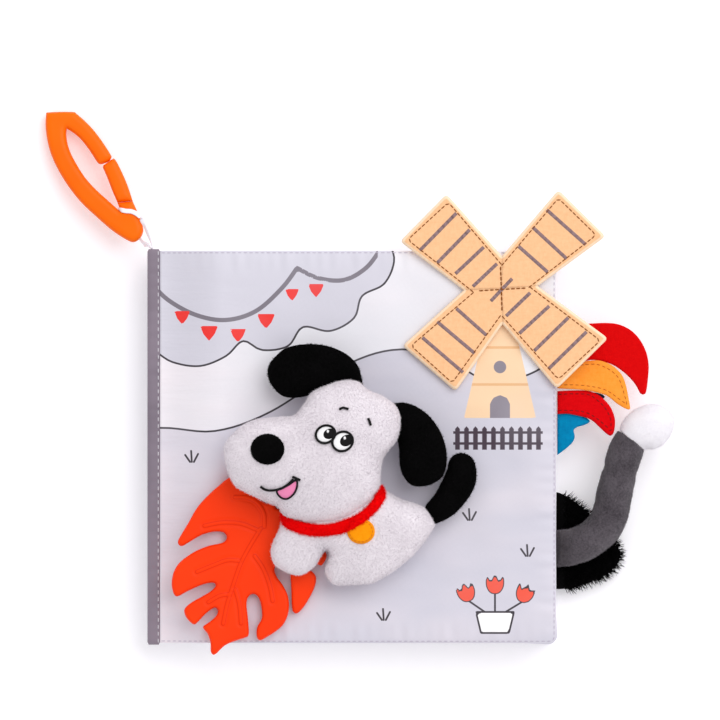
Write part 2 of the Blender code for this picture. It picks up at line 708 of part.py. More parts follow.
def make_dog(parent, ear_left, ear_right, tail):
    across_y, across_x = (0, 1), (1, 0)
    head = dog_solid("dog_head", head_shares, "white_plush", parent, across_y, head_rings, head_sides)
    body = dog_solid("dog_body", body_shares, "white_plush", parent, across_y, head_rings, head_sides)
    front_leg = dog_solid("dog_front_leg", front_leg_shares, "white_plush", parent, across_x)
    hind_leg = dog_solid("dog_hind_leg", hind_leg_shares, "white_plush", parent, across_y)
    left = dog_solid("dog_left_ear", left_ear_shares, "black_plush", ear_left, across_y)
    right = dog_solid("dog_right_ear", right_ear_shares, "black_plush", ear_right, across_x)
    tail_piece = dog_solid("dog_tail", dog_tail_shares, "black_plush", tail)
    collar = make_collar(parent, "dog_collar", 0.0, False)

    head_room = dog_solid("head_room", head_shares, "white_plush", parent, across_y, head_rings, head_sides,
                          True, touch_gap)
    body_room = dog_solid("body_room", body_shares, "white_plush", parent, across_y, head_rings, head_sides,
                          True, touch_gap)
    collar_room = make_collar(parent, "collar_room", touch_gap, True)
    for piece in (body, front_leg, left, right, collar):
        combine(piece, head_room, "DIFFERENCE")
    for piece in (front_leg, hind_leg, tail_piece, collar):
        combine(piece, body_room, "DIFFERENCE")
    combine(front_leg, collar_room, "DIFFERENCE")

    nose_at = dog_point(nose_share)
    rows = [(nose_radius * cos(a), 0, 0, nose_radius * sin(a), nose_height * sin(a))
            for a in (pi * (1 - step / eye_sides) for step in range(eye_sides + 1))]
    rows[0] = (-nose_radius, 0, 0, touch_gap, touch_gap)
    rows[-1] = (nose_radius, 0, 0, touch_gap, touch_gap)
    verts, faces = stuffed(rows, len(rows), eye_sides, across_y)
    nose = solid("dog_nose", verts, faces, "black_plush", parent, nose_at)
    combine(nose, head_room, "DIFFERENCE")

    verts, faces = plate(circle(tag_radius, round_sides), -tag_thickness / 2, tag_thickness, touch_gap)
    tag = solid("dog_collar_tag", verts, faces, "tag_cloth", parent, dog_point(tag_share))
    for room in (body_room, collar_room, head_room):
        combine(tag, room, "DIFFERENCE")

    verts, faces = plate(circle(squeaker_radius, round_sides), -squeaker_height / 2, squeaker_height, touch_gap)
    solid("dog_squeaker", verts, faces, "squeaker_plastic", parent, dog_point(squeaker_share))
    low = -squeaker_height / 2 - pocket_overrun
    high = squeaker_height / 2 + touch_gap
    verts, faces = plate(circle(squeaker_radius + touch_gap, round_sides), low, high - low, touch_gap)
    pocket = solid("squeaker_room", verts, faces, "squeaker_plastic", parent, dog_point(squeaker_share), True)
    combine(body, pocket, "DIFFERENCE")


# Teether


def make_teether(parent, cover):
    """A flat leaf with deep slots, and an eye at its stalk that a stitched tie holds."""
    corner = Vector((teether_pivot_x, teether_pivot_y)) - Vector(
        (teether_corner_share[0] * teether_width, teether_corner_share[1] * teether_height))
    leaf = [(corner.x - teether_pivot_x + x * teether_width, corner.y - teether_pivot_y + y * teether_height)
            for x, y in teether_outline_shares]
    before_eye = teether_outline_shares.index((0.745, 0.79))
    collar_radius = eye_radius + eye_rim
    start, end = radians(-62), radians(142)
    arc = [(collar_radius * cos(a), collar_radius * sin(a))
           for a in (start + (end - start) * step / eye_sides for step in range(eye_sides + 1))]
    outline = leaf[:before_eye + 1] + arc + leaf[before_eye + 1:]
    at = (teether_pivot_x, teether_pivot_y, cover_rest)
    verts, faces = plate(outline, 0.0, teether_thickness, teether_edge)
    teether = solid("leaf_teether", verts, faces, "teether_silicone", parent, at)
    hole_height = teether_thickness + 2 * pocket_overrun
    verts, faces = plate(circle(eye_radius, eye_sides), -pocket_overrun, hole_height, teether_edge)
    combine(teether, solid("eye_room", verts, faces, "teether_silicone", parent, at, True), "DIFFERENCE")

    # The tie is a staple of ribbon: down through the eye, and down outside its rim
    reach = collar_radius + touch_gap + tie_thickness
    inner_top = teether_thickness + touch_gap
    outer_top = inner_top + tie_thickness
    inside = -tie_thickness / 2
    outside = reach
    profile = [
        (inside, 0.0), (inside + tie_thickness, 0.0), (inside + tie_thickness, inner_top),
        (outside - tie_thickness, inner_top), (outside - tie_thickness, 0.0), (outside, 0.0),
        (outside, outer_top), (inside, outer_top),
    ]
    heading = Vector((cos(radians(tie_turn)), sin(radians(tie_turn))))
    side = Vector((-heading.y, heading.x))
    verts = []
    for half in (-tie_width / 2, tie_width / 2):
        for along, height in profile:
            verts.append((heading.x * along + side.x * half, heading.y * along + side.y * half, height))
    solid("teether_tie", verts, tube_faces(2, len(profile)), "ribbon", cover, at)


# Clip and its ribbon


def clip_points(shares):
    return [(x * clip_span, y * clip_span) for x, y in shares]


def make_clip():
    """The clip lies tilted, from the ribbon's root at the end of the spine down to the table."""
    root_y = book_top + touch_gap + ribbon_thickness / 2
    root = Vector((clip_root_x, root_y, stack_middle + ribbon_width / 2))
    along = Vector((cos(radians(clip_heading)), sin(radians(clip_heading))))
    reach = max(along.dot(Vector(point)) for point in clip_points(clip_outer_shares))
    drop = root.z - ribbon_width / 2 - clip_thickness / 2 - clip_floor_gap
    clip = pivot("clip_swing_axis", root)
    clip.rotation_mode = "AXIS_ANGLE"
    clip.rotation_axis_angle = (-asin(drop / reach), along.y, -along.x, 0)
    low = -ribbon_width / 2 - clip_thickness / 2

    verts, faces = plate(clip_points(clip_outer_shares + clip_inner_shares), low, clip_thickness, clip_edge)
    solid("clip_ring", verts, faces, "clip_plastic", clip, root)

    gate_at = Vector((*clip_points(gate_shares)[0], 0))
    gate = bpy.data.objects.new("gate_flex_axis", None)
    bpy.context.scene.collection.objects.link(gate)
    gate.parent = clip
    gate.location = gate_at
    local = [(x - gate_at.x, y - gate_at.y) for x, y in clip_points(gate_shares)]
    verts, faces = plate(local, low, clip_thickness, clip_edge)
    arm = solid("clip_gate", verts, faces, "clip_plastic", None)
    arm.parent = gate

    middle = Vector(clip_points((loop_share,))[0])
    run = Vector((cos(radians(loop_heading)), sin(radians(loop_heading))))
    side = Vector((run.y, -run.x))
    half = loop_half_share * clip_span
    half_high = clip_thickness / 2 + ribbon_gap
    verts = []
    for end in (-loop_width / 2, loop_width / 2):
        for wide, high in ((half + loop_wall, half_high + loop_wall), (half, half_high)):
            for sx, sz in ((-1, -1), (1, -1), (1, 1), (-1, 1)):
                flat = middle + run * end + side * (wide * sx)
                verts.append((flat.x, flat.y, -ribbon_width / 2 + high * sz))
    faces = []
    for turn in range(4):
        following = (turn + 1) % 4
        for start, stop in ((0, 4), (4, 12), (12, 8), (8, 0)):
            faces.append((start + turn, start + following, stop + following, stop + turn))
    ribbon = solid("clip_ribbon", verts, faces, "ribbon", clip, root)

    path = curve_through(clip_points(strap_shares), limb_rings)
    verts = []
    for index, (x, y) in enumerate(path):
        before, after = path[max(index - 1, 0)], path[min(index + 1, len(path) - 1)]
        heading = Vector((after[0] - before[0], after[1] - before[1])).normalized()
        for wide, high in ((-1, -1), (1, -1), (1, 1), (-1, 1)):
            offset = wide * ribbon_thickness / 2
            verts.append((x - heading.y * offset, y + heading.x * offset,
                          -ribbon_width / 2 + high * ribbon_width / 2))
    strap = solid("strap_run", verts, tube_faces(len(path), 4), "ribbon", clip, root, True)
    combine(ribbon, strap, "UNION")
    return clip


# Felt sails


def make_sails(cover):
    """A square hub stitched to the cover and four blades that lift from its sides."""
    centre = Vector((sail_x, sail_y, cover_rest))
    turn = radians(45 + sail_turn)
    corner = hub_apothem * sqrt(2)
    square = [(corner * cos(turn + pi / 4 + k * pi / 2), corner * sin(turn + pi / 4 + k * pi / 2))
              for k in range(4)]
    verts, faces = plate(square, 0.0, sail_thickness, sail_edge)
    solid("sail_hub", verts, faces, "sail_felt", cover, centre)
    for index, name in enumerate(("upper_right", "upper_left", "lower_left", "lower_right")):
        heading = turn + index * pi / 2
        along = Vector((cos(heading), sin(heading)))
        side = Vector((-along.y, along.x))
        root = hub_apothem + touch_gap
        axis_at = centre + Vector((along.x * root, along.y * root, sail_thickness))
        hinge = pivot("sail_" + name + "_axis", axis_at, cover)
        length = blade_reach - root
        flat = [(0.0, -hub_apothem), (length, -blade_tip_half), (length, blade_tip_half), (0.0, hub_apothem)]
        flat = rounded(flat, blade_corner, (1, 2))
        outline = [(along.x * a + side.x * s, along.y * a + side.y * s) for a, s in flat]
        verts, faces = plate(outline, -sail_thickness, sail_thickness, sail_edge)
        solid("sail_" + name, verts, faces, "sail_felt", hinge, axis_at)


# Tails


def make_rooster_tail(leaf, middle):
    """Five felt feathers in three layers, sewn one over another into the edge of the first leaf."""
    pitch = felt_thickness + touch_gap
    lowest = -pitch - felt_thickness / 2
    axis_at = (flap_root_x, rooster_y, middle)
    tail = pivot("rooster_tail_axis", axis_at, leaf)
    feathers = (
        ("rooster_orange_feather", orange_feather_shares, orange_feather_length, orange_root_share, 2,
         "orange_felt"),
        ("rooster_red_feather", red_feather_shares, red_feather_length, red_root_share, 1, "red_felt"),
        ("rooster_lower_red_feather", lower_feather_shares, lower_feather_length, lower_root_share, 1,
         "red_felt"),
        ("rooster_navy_feather", navy_feather_shares, navy_feather_length, navy_root_share, 0, "navy_felt"),
        ("rooster_teal_feather", teal_feather_shares, teal_feather_length, teal_root_share, 0, "teal_felt"),
    )
    for name, shares, length, root_share, layer, material in feathers:
        root = root_share * red_feather_length
        outline = [(x * length, root + y * length) for x, y in shares]
        verts, faces = plate(outline, lowest + layer * pitch, felt_thickness, sail_edge)
        solid(name, verts, faces, material, tail, axis_at)


def make_cat_tail(leaf, middle):
    root = Vector((tail_root_x, cat_y, middle))
    thick = cat_tail_shares[0][4] * cat_span
    tail = pivot("cat_tail_axis", root + Vector((0, 0, thick)), leaf)
    rows = scaled(cat_tail_shares, cat_span)
    verts, faces = stuffed(rows, head_rings, limb_sides + 2)
    solid("cat_tail", verts, faces, "grey_plush", tail, root)
    verts, faces = stuffed(rows, head_rings, limb_sides + 2, None, touch_gap)
    room = solid("cat_tail_room", verts, faces, "grey_plush", tail, root, True)
    verts, faces = stuffed(scaled(cat_tip_shares, cat_span), limb_rings, limb_sides + 2)
    tip = solid("cat_tail_tip", verts, faces, "tip_plush", tail, root)
    combine(tip, room, "DIFFERENCE")


def make_furry_tail(leaf, middle):
    root = Vector((tail_root_x, furry_y, middle))
    thick = furry_shares[0][4] * furry_span
    tail = pivot("furry_tail_axis", root - Vector((0, 0, thick)), leaf)
    verts, faces = stuffed(scaled(furry_shares, furry_span), limb_rings, limb_sides, (0, 1))
    solid("furry_tail", verts, faces, "black_fur", tail, root)


def build_book():
    clear_scene()
    places = panel_places()
    spine_line = (hinge_x, 0, hinge_z)
    leaf_3 = pivot("leaf_3_axis", spine_line)
    leaf_2 = pivot("leaf_2_axis", spine_line, leaf_3)
    leaf_1 = pivot("leaf_1_axis", spine_line, leaf_2)
    cover = pivot("front_cover_axis", spine_line, leaf_1)
    carriers = {"back_cover": None, "leaf_3": leaf_3, "leaf_2": leaf_2, "leaf_1": leaf_1, "front_cover": cover}
    for name in panel_names:
        make_panel(name, places[name], carriers[name])
    make_binding()
    make_clip()
    ear_left = pivot("dog_left_ear_axis", dog_point(left_ear_root_share), cover)
    ear_right = pivot("dog_right_ear_axis", dog_point(right_ear_root_share), cover)
    dog_tail = pivot("dog_tail_axis", dog_point(dog_tail_root_share), cover)
    make_dog(cover, ear_left, ear_right, dog_tail)
    teether = pivot("teether_axis", (teether_pivot_x, teether_pivot_y, cover_rest), cover)
    make_teether(teether, cover)
    make_sails(cover)
    make_rooster_tail(leaf_1, places["leaf_1"][1])
    make_cat_tail(leaf_2, places["leaf_2"][1])
    make_furry_tail(leaf_3, places["leaf_3"][1])


build_book()
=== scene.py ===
from math import cos, pi, radians, sin, sqrt

import bmesh
import bpy
import numpy as np
from mathutils import Matrix, Vector, geometry
from mathutils.bvhtree import BVHTree


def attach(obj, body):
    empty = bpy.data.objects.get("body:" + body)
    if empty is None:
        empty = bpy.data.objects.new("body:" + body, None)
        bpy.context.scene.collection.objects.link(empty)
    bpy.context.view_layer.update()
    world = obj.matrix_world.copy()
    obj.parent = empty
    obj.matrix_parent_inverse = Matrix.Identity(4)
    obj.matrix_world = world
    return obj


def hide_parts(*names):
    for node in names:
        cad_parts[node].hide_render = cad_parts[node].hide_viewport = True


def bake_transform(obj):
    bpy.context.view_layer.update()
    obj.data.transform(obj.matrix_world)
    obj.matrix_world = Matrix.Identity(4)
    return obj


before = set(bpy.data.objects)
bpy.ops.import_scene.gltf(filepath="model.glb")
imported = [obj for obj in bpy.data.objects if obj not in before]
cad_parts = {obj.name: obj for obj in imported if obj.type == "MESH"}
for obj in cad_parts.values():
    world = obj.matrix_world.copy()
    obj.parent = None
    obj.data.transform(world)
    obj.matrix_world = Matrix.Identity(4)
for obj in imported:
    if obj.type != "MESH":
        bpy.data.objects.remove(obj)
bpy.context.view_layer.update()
mm = 0.001

# The photograph's scale, and the pixel that lies over the origin
photo = {"pixel": 0.42 * mm, "originX": 352.5, "originY": 447.0}


def atPixel(across, down):
    return ((across - photo["originX"]) * photo["pixel"], (photo["originY"] - down) * photo["pixel"])


def pixels(points):
    return [atPixel(across, down) for across, down in points]


def fromCrop(crop, points):
    # places read in an enlarged crop, which is given by its left, its top and its zoom
    left, above, zoom = crop
    return pixels([(left + x / zoom, above + y / zoom) for x, y in points])


def ink(colour):
    # a colour as a screen shows it, turned into the linear values that a socket holds
    return [c / 255 / 12.92 if c < 10.3 else ((c / 255 + 0.055) / 1.055) ** 2.4 for c in colour] + [1]


# Node trees: materials, the sky and Geometry Nodes are all built by add


class Graph:
    def __init__(self, tree):
        self.tree = tree

    def add(self, kind, settings, sockets):
        # settings come first; a socket takes a wire, a node's first output, an output or a plain value
        made = self.tree.nodes.new(kind)
        for key, value in settings.items():
            setattr(made, key, value)
        self.fill(made, sockets)
        return made

    def fill(self, made, sockets):
        for key, value in sockets.items():
            socket = made.inputs[key]
            value = value.socket if isinstance(value, Wire) else value
            value = value.outputs[0] if hasattr(value, "outputs") else value
            if hasattr(value, "is_output"):
                self.tree.links.new(value, socket)
            elif value is not None:
                socket.default_value = ink(value) if socket.type == "RGBA" else value


class Wire:
    # one output of a material's tree; an operator on it adds the Math node
    def __init__(self, finish, socket):
        self.finish = finish
        self.socket = socket

    def math(self, operation, *values, clamp=False):
        settings = {"operation": operation, "use_clamp": clamp}
        return self.finish.node("ShaderNodeMath", settings, dict(enumerate(values)))

    def __add__(self, other):
        return self.math("ADD", self, other)

    def __sub__(self, other):
        return self.math("SUBTRACT", self, other)

    def __rsub__(self, other):
        return self.math("SUBTRACT", other, self)

    def __mul__(self, other):
        return self.math("MULTIPLY", self, other)

    def __truediv__(self, other):
        return self.math("DIVIDE", self, other)

    def __pow__(self, exponent):
        return self.math("POWER", self, exponent)

    def __abs__(self):
        return self.math("ABSOLUTE", self)

    def sine(self):
        return self.math("SINE", self)

    def fraction(self):
        return self.math("FRACT", self)

    def clamped(self):
        return self.math("ADD", self, 0, clamp=True)

    def over(self, other):
        return self.math("MAXIMUM", self, other)

    def under(self, other):
        return self.math("MINIMUM", self, other)

    __radd__ = __add__
    __rmul__ = __mul__


class Finish(Graph):
    # a material with one Principled shader
    def __init__(self, name, roughness, sheen=0.0, specular=0.5, laidFlat=False):
        self.laidFlat = laidFlat
        self.material = bpy.data.materials.new(name)
        self.material.use_nodes = True
        self.tree = self.material.node_tree
        self.shader = self.tree.nodes["Principled BSDF"]
        self.fill(self.shader, {"Roughness": roughness, "Sheen Weight": sheen, "Sheen Roughness": 0.6,
                                "Specular IOR Level": specular})

    def node(self, kind, settings, sockets, output=0):
        return Wire(self, self.add(kind, settings, sockets).outputs[output])

    def attribute(self, name, output="Fac"):
        return self.node("ShaderNodeAttribute", {"attribute_name": name}, {}, output)

    def place(self):
        # a page's cloth keeps the place that it has at rest, so that its print turns with it
        if self.laidFlat:
            return self.attribute("flat", "Vector")
        return self.node("ShaderNodeTexCoord", {}, {}, "Object")

    def turned(self, angle=0.0, scale=(1, 1, 1)):
        return self.node("ShaderNodeMapping", {}, {
            0: self.place(), "Rotation": (0, 0, angle), "Scale": scale})

    def split(self, place):
        outputs = self.add("ShaderNodeSeparateXYZ", {}, {0: place}).outputs
        return Wire(self, outputs[0]), Wire(self, outputs[1])

    def noise(self, scale, detail=2.0, roughness=0.5, where=None):
        return self.node("ShaderNodeTexNoise", {}, {
            0: where or self.place(), "Scale": scale, "Detail": detail, "Roughness": roughness})

    def weave(self, pitch, angle):
        # threads over and under each other, from 0 in the gaps to 1 on a thread
        across, along = self.split(self.turned(angle))
        return abs((across * (pi / pitch)).sine()).over(abs((along * (pi / pitch)).sine()))

    def mix(self, share, under, over):
        return self.node("ShaderNodeMix", {"data_type": "RGBA"}, {0: share, 6: under, 7: over}, 2)

    def bump(self, height, strength, depth, normal=None):
        return self.node("ShaderNodeBump", {}, {"Height": height, "Strength": strength, "Distance": depth,
                                                "Normal": normal})

    def done(self, colour, normal=None):
        self.fill(self.shader, {"Base Color": colour, "Normal": normal})
        return self.material


def satin(name, colour, shade, roughness=0.45, dots=None):
    # thin satin: a fine diagonal weave, faint clouding and, on a page, staggered round dots
    finish = Finish(name, roughness, 0.1 if dots else 0.15, 0.3 if dots else 0.5, laidFlat=bool(dots))
    colour = finish.mix(((finish.noise(28, 3) - 0.45) * 1.6).clamped(), colour, shade)
    if dots:
        x, y = finish.split(finish.place())
        spots = []
        for offset in (0, 0.5):
            across, along = ((way / dots["pitch"] + offset + 20).fraction() - 0.5 for way in (x, y))
            spots.append(((dots["radius"] - (across ** 2 + along ** 2) ** 0.5) * 30).clamped())
        inside = ((dots["reach"] - abs(x)) * 900).clamped() * ((dots["reach"] - abs(y)) * 900).clamped()
        colour = finish.mix(spots[0].over(spots[1]) * inside, colour, dots["colour"])
    cloth = finish.weave(0.55 * mm, radians(8)) * 0.5 + finish.noise(120, 4, 0.6)
    return finish.done(colour, finish.bump(cloth, 0.35, 0.12 * mm))


def plush(name, light, dark, grain, lift, sheen=0.2):
    # short pile: each tuft a little lighter or darker than the next, with brushed patches
    finish = Finish(name, 0.95, sheen, 0.05)
    tuft = finish.noise(grain, 3, 0.7)
    share = ((tuft - 0.5) * 1.3 + (finish.noise(90, 3, 0.6) - 0.5) * 1.2 + 0.5).clamped()
    return finish.done(finish.mix(share, dark, light), finish.bump(tuft, lift, 0.4 * mm))


def felt(name, light, dark, sheen=0.03, rim=None, reach=0.0):
    # pressed fibres: short random strokes in the colour and in the surface; a rim is a paler cut edge
    finish = Finish(name, 0.95, sheen, 0.05)
    fibre = (finish.noise(900, 4, 0.75, finish.turned(0.6, (1, 0.35, 1)))
             + finish.noise(900, 4, 0.75, finish.turned(-0.8, (0.35, 1, 1))))
    colour = finish.mix(((fibre - 1.0) * 1.5 + 0.5).clamped(), dark, light)
    if rim:
        edge = ((reach - finish.attribute("rim")) / (reach * 0.4)).clamped()
        colour = finish.mix(edge * 0.8, colour, rim)
    return finish.done(colour, finish.bump(fibre, 0.4, 0.25 * mm))


def moulded(name, look, roughness):
    # a moulded skin: nearly even colour over a fine orange peel, with a painted shade line beside each vein
    # where it dips into its groove
    finish = Finish(name, roughness, specular=0.12)
    colour = finish.mix(finish.noise(45, 2), look["shade"], look["colour"])
    if "line" in look:
        near = abs(finish.attribute("vein") - look["lineAt"]) / look["lineWidth"]
        colour = finish.mix((1 - near).clamped() * look["lineShare"], colour, look["line"])
    return finish.done(colour, finish.bump(finish.noise(500, 2, 0.4), 0.12, 0.1 * mm))


def thread(name, colour, shade):
    # twisted yarn
    finish = Finish(name, 0.7, 0.05, 0.15)
    twist = finish.noise(2600, 2, 0.5)
    return finish.done(finish.mix(twist, shade, colour), finish.bump(twist, 0.5, 0.1 * mm))


# Meshes


def placed(name, data):
    made = bpy.data.objects.new(name, data)
    bpy.context.scene.collection.objects.link(made)
    return made


def meshPiece(name, verts, faces, material, outwards=True):
    mesh = bpy.data.meshes.new(name)
    mesh.from_pydata([tuple(v) for v in verts], [], [tuple(int(i) for i in f) for f in faces])
    mesh.materials.append(material)
    mesh.polygons.foreach_set("use_smooth", [True] * len(mesh.polygons))
    if outwards:
        shape = bmesh.new()
        shape.from_mesh(mesh)
        bmesh.ops.remove_doubles(shape, verts=shape.verts, dist=1e-7)
        bmesh.ops.recalc_face_normals(shape, faces=shape.faces)
        shape.to_mesh(mesh)
        shape.free()
    return placed(name, mesh)


def meshOf(pieces):
    # the vertices and faces of several pieces, counted on
    verts, faces = [], []
    for piece in pieces:
        start = len(verts)
        verts += [tuple(v.co) for v in piece.data.vertices]
        faces += [[start + i for i in face.vertices] for face in piece.data.polygons]
    return verts, faces


def joined(name, parts):
    # several meshes as one piece, each keeping its own materials
    materials, slots = [], []
    for part in parts:
        for face in part.data.polygons:
            material = part.data.materials[face.material_index]
            if material not in materials:
                materials.append(material)
            slots.append(materials.index(material))
    made = meshPiece(name, *meshOf(parts), materials[0], outwards=False)
    for material in materials[1:]:
        made.data.materials.append(material)
    made.data.polygons.foreach_set("material_index", slots)
    for part in parts:
        bpy.data.objects.remove(part)
    return made


def ringFaces(rings, sides):
    # the walls between rings of equally many points, and the two filled ends
    faces = []
    for low in range(0, (rings - 1) * sides, sides):
        for i in range(sides):
            after = (i + 1) % sides
            faces.append((low + i, low + after, low + sides + after, low + sides + i))
    return faces + [tuple(range(sides)), tuple(range((rings - 1) * sides, rings * sides))]


def closing(line, closed=True):
    # the line's points in pairs, the last with the first where it is closed
    return list(zip(line, line[1:] + line[:1] if closed else line[1:]))


def headings(path):
    # the direction of a path of points at each of them
    return [(Vector(path[min(i + 1, len(path) - 1)]) - Vector(path[max(i - 1, 0)])).normalized()
            for i in range(len(path))]


def between(before, here, after, beyond, pieces):
    # Catmull-Rom places from here up to after
    read = []
    for part in range(pieces):
        t = part / pieces
        bend = (2 * before - 5 * here + 4 * after - beyond) * t * t
        bend += (3 * here - before - 3 * after + beyond) * t ** 3
        read.append(here + ((after - before) * t + bend) / 2)
    return read


def smoothLoop(points, step, closed=True, sharp=()):
    # a smooth curve through the points, read about every step; a sharp point stays a corner
    count = len(points)
    read = []
    for index in range(count if closed else count - 1):
        here = Vector(points[index])
        after = Vector(points[(index + 1) % count])
        before = Vector(points[index - 1]) if closed or index else here
        beyond = Vector(points[(index + 2) % count]) if closed or index + 2 < count else after
        before = here if index in sharp else before
        beyond = after if (index + 1) % count in sharp else beyond
        read += between(before, here, after, beyond, max(int((after - here).length / step + 0.5), 1))
    if not closed:
        read.append(Vector(points[-1]))
    return [tuple(p) for p in read]


def distanceTo(xs, ys, line, closed=True):
    # the distance from each place to a line of points
    best = np.full(np.shape(xs), 1e9)
    for (ax, ay), (bx, by) in closing(line, closed):
        dx, dy = bx - ax, by - ay
        share = np.clip(((xs - ax) * dx + (ys - ay) * dy) / max(dx * dx + dy * dy, 1e-18), 0, 1)
        best = np.minimum(best, np.hypot(xs - ax - share * dx, ys - ay - share * dy))
    return best


def insideOf(xs, ys, line):
    crossings = np.zeros(np.shape(xs), bool)
    for (ax, ay), (bx, by) in closing(line):
        if ay != by:
            crossings ^= ((ay > ys) != (by > ys)) & (xs < (bx - ax) * (ys - ay) / (by - ay) + ax)
    return crossings


def shapeDistance(xs, ys, *lines):
    # below zero inside any of the shapes, above it outside them all
    best = np.full(np.shape(xs), 1.0)
    for line in lines:
        away = distanceTo(xs, ys, line)
        best = np.minimum(best, np.where(insideOf(xs, ys, line), -away, away))
    return best


def filledOutline(outline, step, holes=()):
    # the outline filled with even triangles: flat places, and faces that all look up
    loops = [outline, *holes]
    places = [Vector(p) for loop in loops for p in loop]
    edges, start = [], 0
    for loop in loops:
        edges += [(start + i, start + (i + 1) % len(loop)) for i in range(len(loop))]
        start += len(loop)
    xs, ys = np.array([p[:2] for p in places]).T

    def within(spots):
        kept = insideOf(spots[:, 0], spots[:, 1], loops[0])
        for hole in loops[1:]:
            kept &= ~insideOf(spots[:, 0], spots[:, 1], hole)
        return kept

    rows = []
    for row, y in enumerate(np.arange(ys.min() + step * 0.5, ys.max(), step * 0.866)):
        gridX = np.arange(xs.min() + step * (0.25 + 0.5 * (row % 2)), xs.max(), step)
        rows.append(np.stack([gridX, np.full(len(gridX), y)], 1))
    grid = np.concatenate(rows)
    keep = within(grid)
    for loop in loops:
        keep &= distanceTo(grid[:, 0], grid[:, 1], loop) > step * 0.55
    places += [Vector((x, y)) for x, y in grid[keep]]
    found = geometry.delaunay_2d_cdt(places, edges, [], 0, 1e-7)
    flat = np.array([tuple(p) for p in found[0]])
    faces = [f for f in found[2] if len(f) == 3]
    middles = np.array([flat[list(f)].mean(0) for f in faces])
    faces = [f for f, wanted in zip(faces, within(middles)) if wanted]
    return flat, [(a, b, c) if looksUp(flat[a], flat[b], flat[c]) else (a, c, b) for a, b, c in faces]


def looksUp(a, b, c):
    return (b[0] - a[0]) * (c[1] - a[1]) - (b[1] - a[1]) * (c[0] - a[0]) > 0


def rimEdges(faces):
    # the edges that only one face has, in that face's direction
    seen = set()
    for a, b, c in faces:
        seen |= {(a, b), (b, c), (c, a)}
    return [(a, b) for a, b in seen if (b, a) not in seen]


def sandwich(name, flat, faces, top, bottom, material):
    # a closed piece between two heights over the same flat places
    count = len(flat)
    verts = [(x, y, z) for side in (top, bottom) for (x, y), z in zip(flat, side)]
    walls = [(b, a, count + a, count + b) for a, b in rimEdges(faces)]
    under = [(c + count, b + count, a + count) for a, b, c in faces]
    return meshPiece(name, verts, faces + under + walls, material)


# how many rounds of evening out give a shape its rise
relaxing = {"stuffed": 1040, "domed": 240}


def inflated(flat, faces, rounds):
    # how high a sewn and stuffed shape rises at each place, as a share of its highest point
    count = len(flat)
    rim = {i for edge in rimEdges(faces) for i in edge}
    pairs = np.array([(a, b) for f in faces for a, b in closing(list(f))])
    both = np.concatenate([pairs, pairs[:, ::-1]])
    near = np.maximum(np.bincount(both[:, 0], minlength=count).astype(float), 1)
    length = np.hypot(*(flat[both[:, 0]] - flat[both[:, 1]]).T)
    spread = np.bincount(both[:, 0], length ** 2, count) / near
    free = np.array([i not in rim for i in range(count)])
    height = np.where(free, 1e-4, 0.0)
    for _ in range(rounds):
        height = np.where(free, np.bincount(both[:, 0], height[both[:, 1]], count) / near + spread, 0)
    return np.sqrt(height / height.max())


def rounded(away, reach):
    # the rise of a round edge, from 0 at the edge to 1 at this reach inside it
    return np.sqrt(1 - (1 - np.clip(away / reach, 0, 1)) ** 2)


def flatShape(name, outline, step, look, low, material, soft=None, relief=None, holes=()):
    # a cut sheet with rounded edges; soft is the line that is rounded where not all of the outline is
    flat, faces = filledOutline(outline, step, holes)
    xs, ys = flat.T
    lines = [soft] if soft else [outline, *holes]
    away = np.min([distanceTo(xs, ys, line, soft is None) for line in lines], axis=0)
    half = look["thickness"] / 2 * (0.35 + 0.65 * rounded(away, look["edge"]))
    middle = low + look["thickness"] / 2
    top = middle + half + (relief(xs, ys) if relief else 0)
    return sandwich(name, flat, faces, top, middle - half, material)


def surfaceOf(*pieces):
    # a reader of the highest surface of these pieces over a flat place
    tree = BVHTree.FromPolygons(*meshOf(pieces))

    def height(x, y):
        hit = tree.ray_cast(Vector((x, y, 1.0)), Vector((0, 0, -1)))
        return hit[0].z if hit[0] is not None else 0.0

    return height


def drapedLine(line, height, lift):
    return [(x, y, height(x, y) + lift) for x, y in line]


def patch(name, outline, height, lift, thickness, material, step=0.6 * mm, dome=0.0):
    # a thin piece of cloth or a filled embroidery that follows the surface under it
    flat, faces = filledOutline(outline, step)
    base = np.array([height(x, y) for x, y in flat])
    found = base > 0
    for spot in np.nonzero(~found)[0]:
        base[spot] = base[np.argmin(np.where(found, np.hypot(*(flat - flat[spot]).T), 1.0))]
    base += lift
    swell = inflated(flat, faces, relaxing["domed"]) if dome else 0
    share = rounded(distanceTo(*flat.T, outline), thickness * 1.2)
    top = base + thickness * (0.2 + 0.8 * share) + dome * swell
    return sandwich(name, flat, faces, top, base - thickness, material)


def roundedCorners(points, radius, which):
    # the same outline with an arc of five points at each of these corners
    made = []
    for index, point in enumerate(points):
        if index not in which:
            made.append(tuple(point))
            continue
        here = Vector(point)
        start, end = (here + (Vector(other) - here).normalized() * radius
                      for other in (points[index - 1], points[(index + 1) % len(points)]))
        made += [tuple(start * (1 - t) ** 2 + here * (2 * t * (1 - t)) + end * t * t)
                 for t in (0, 0.25, 0.5, 0.75, 1)]
    return made


def divided(points, step, closed=False):
    # a line of points with more points between them, at most step apart
    made = []
    for a, b in closing(points, closed):
        a, b = Vector(a), Vector(b)
        count = max(int((b - a).length / step + 0.5), 1)
        made += [tuple(a.lerp(b, i / count)) for i in range(count)]
    return made if closed else made + [tuple(points[-1])]


def painted(piece, name, values):
    # a value for every vertex that a material or a tree reads
    held = piece.data.attributes.new(name, "FLOAT", "POINT")
    held.data.foreach_set("value", np.asarray(values, dtype=np.float32))


def placesOf(piece):
    found = np.empty(len(piece.data.vertices) * 3)
    piece.data.vertices.foreach_get("co", found)
    return found.reshape(-1, 3)


# Geometry Nodes trees, one for threads in a row and one for pile


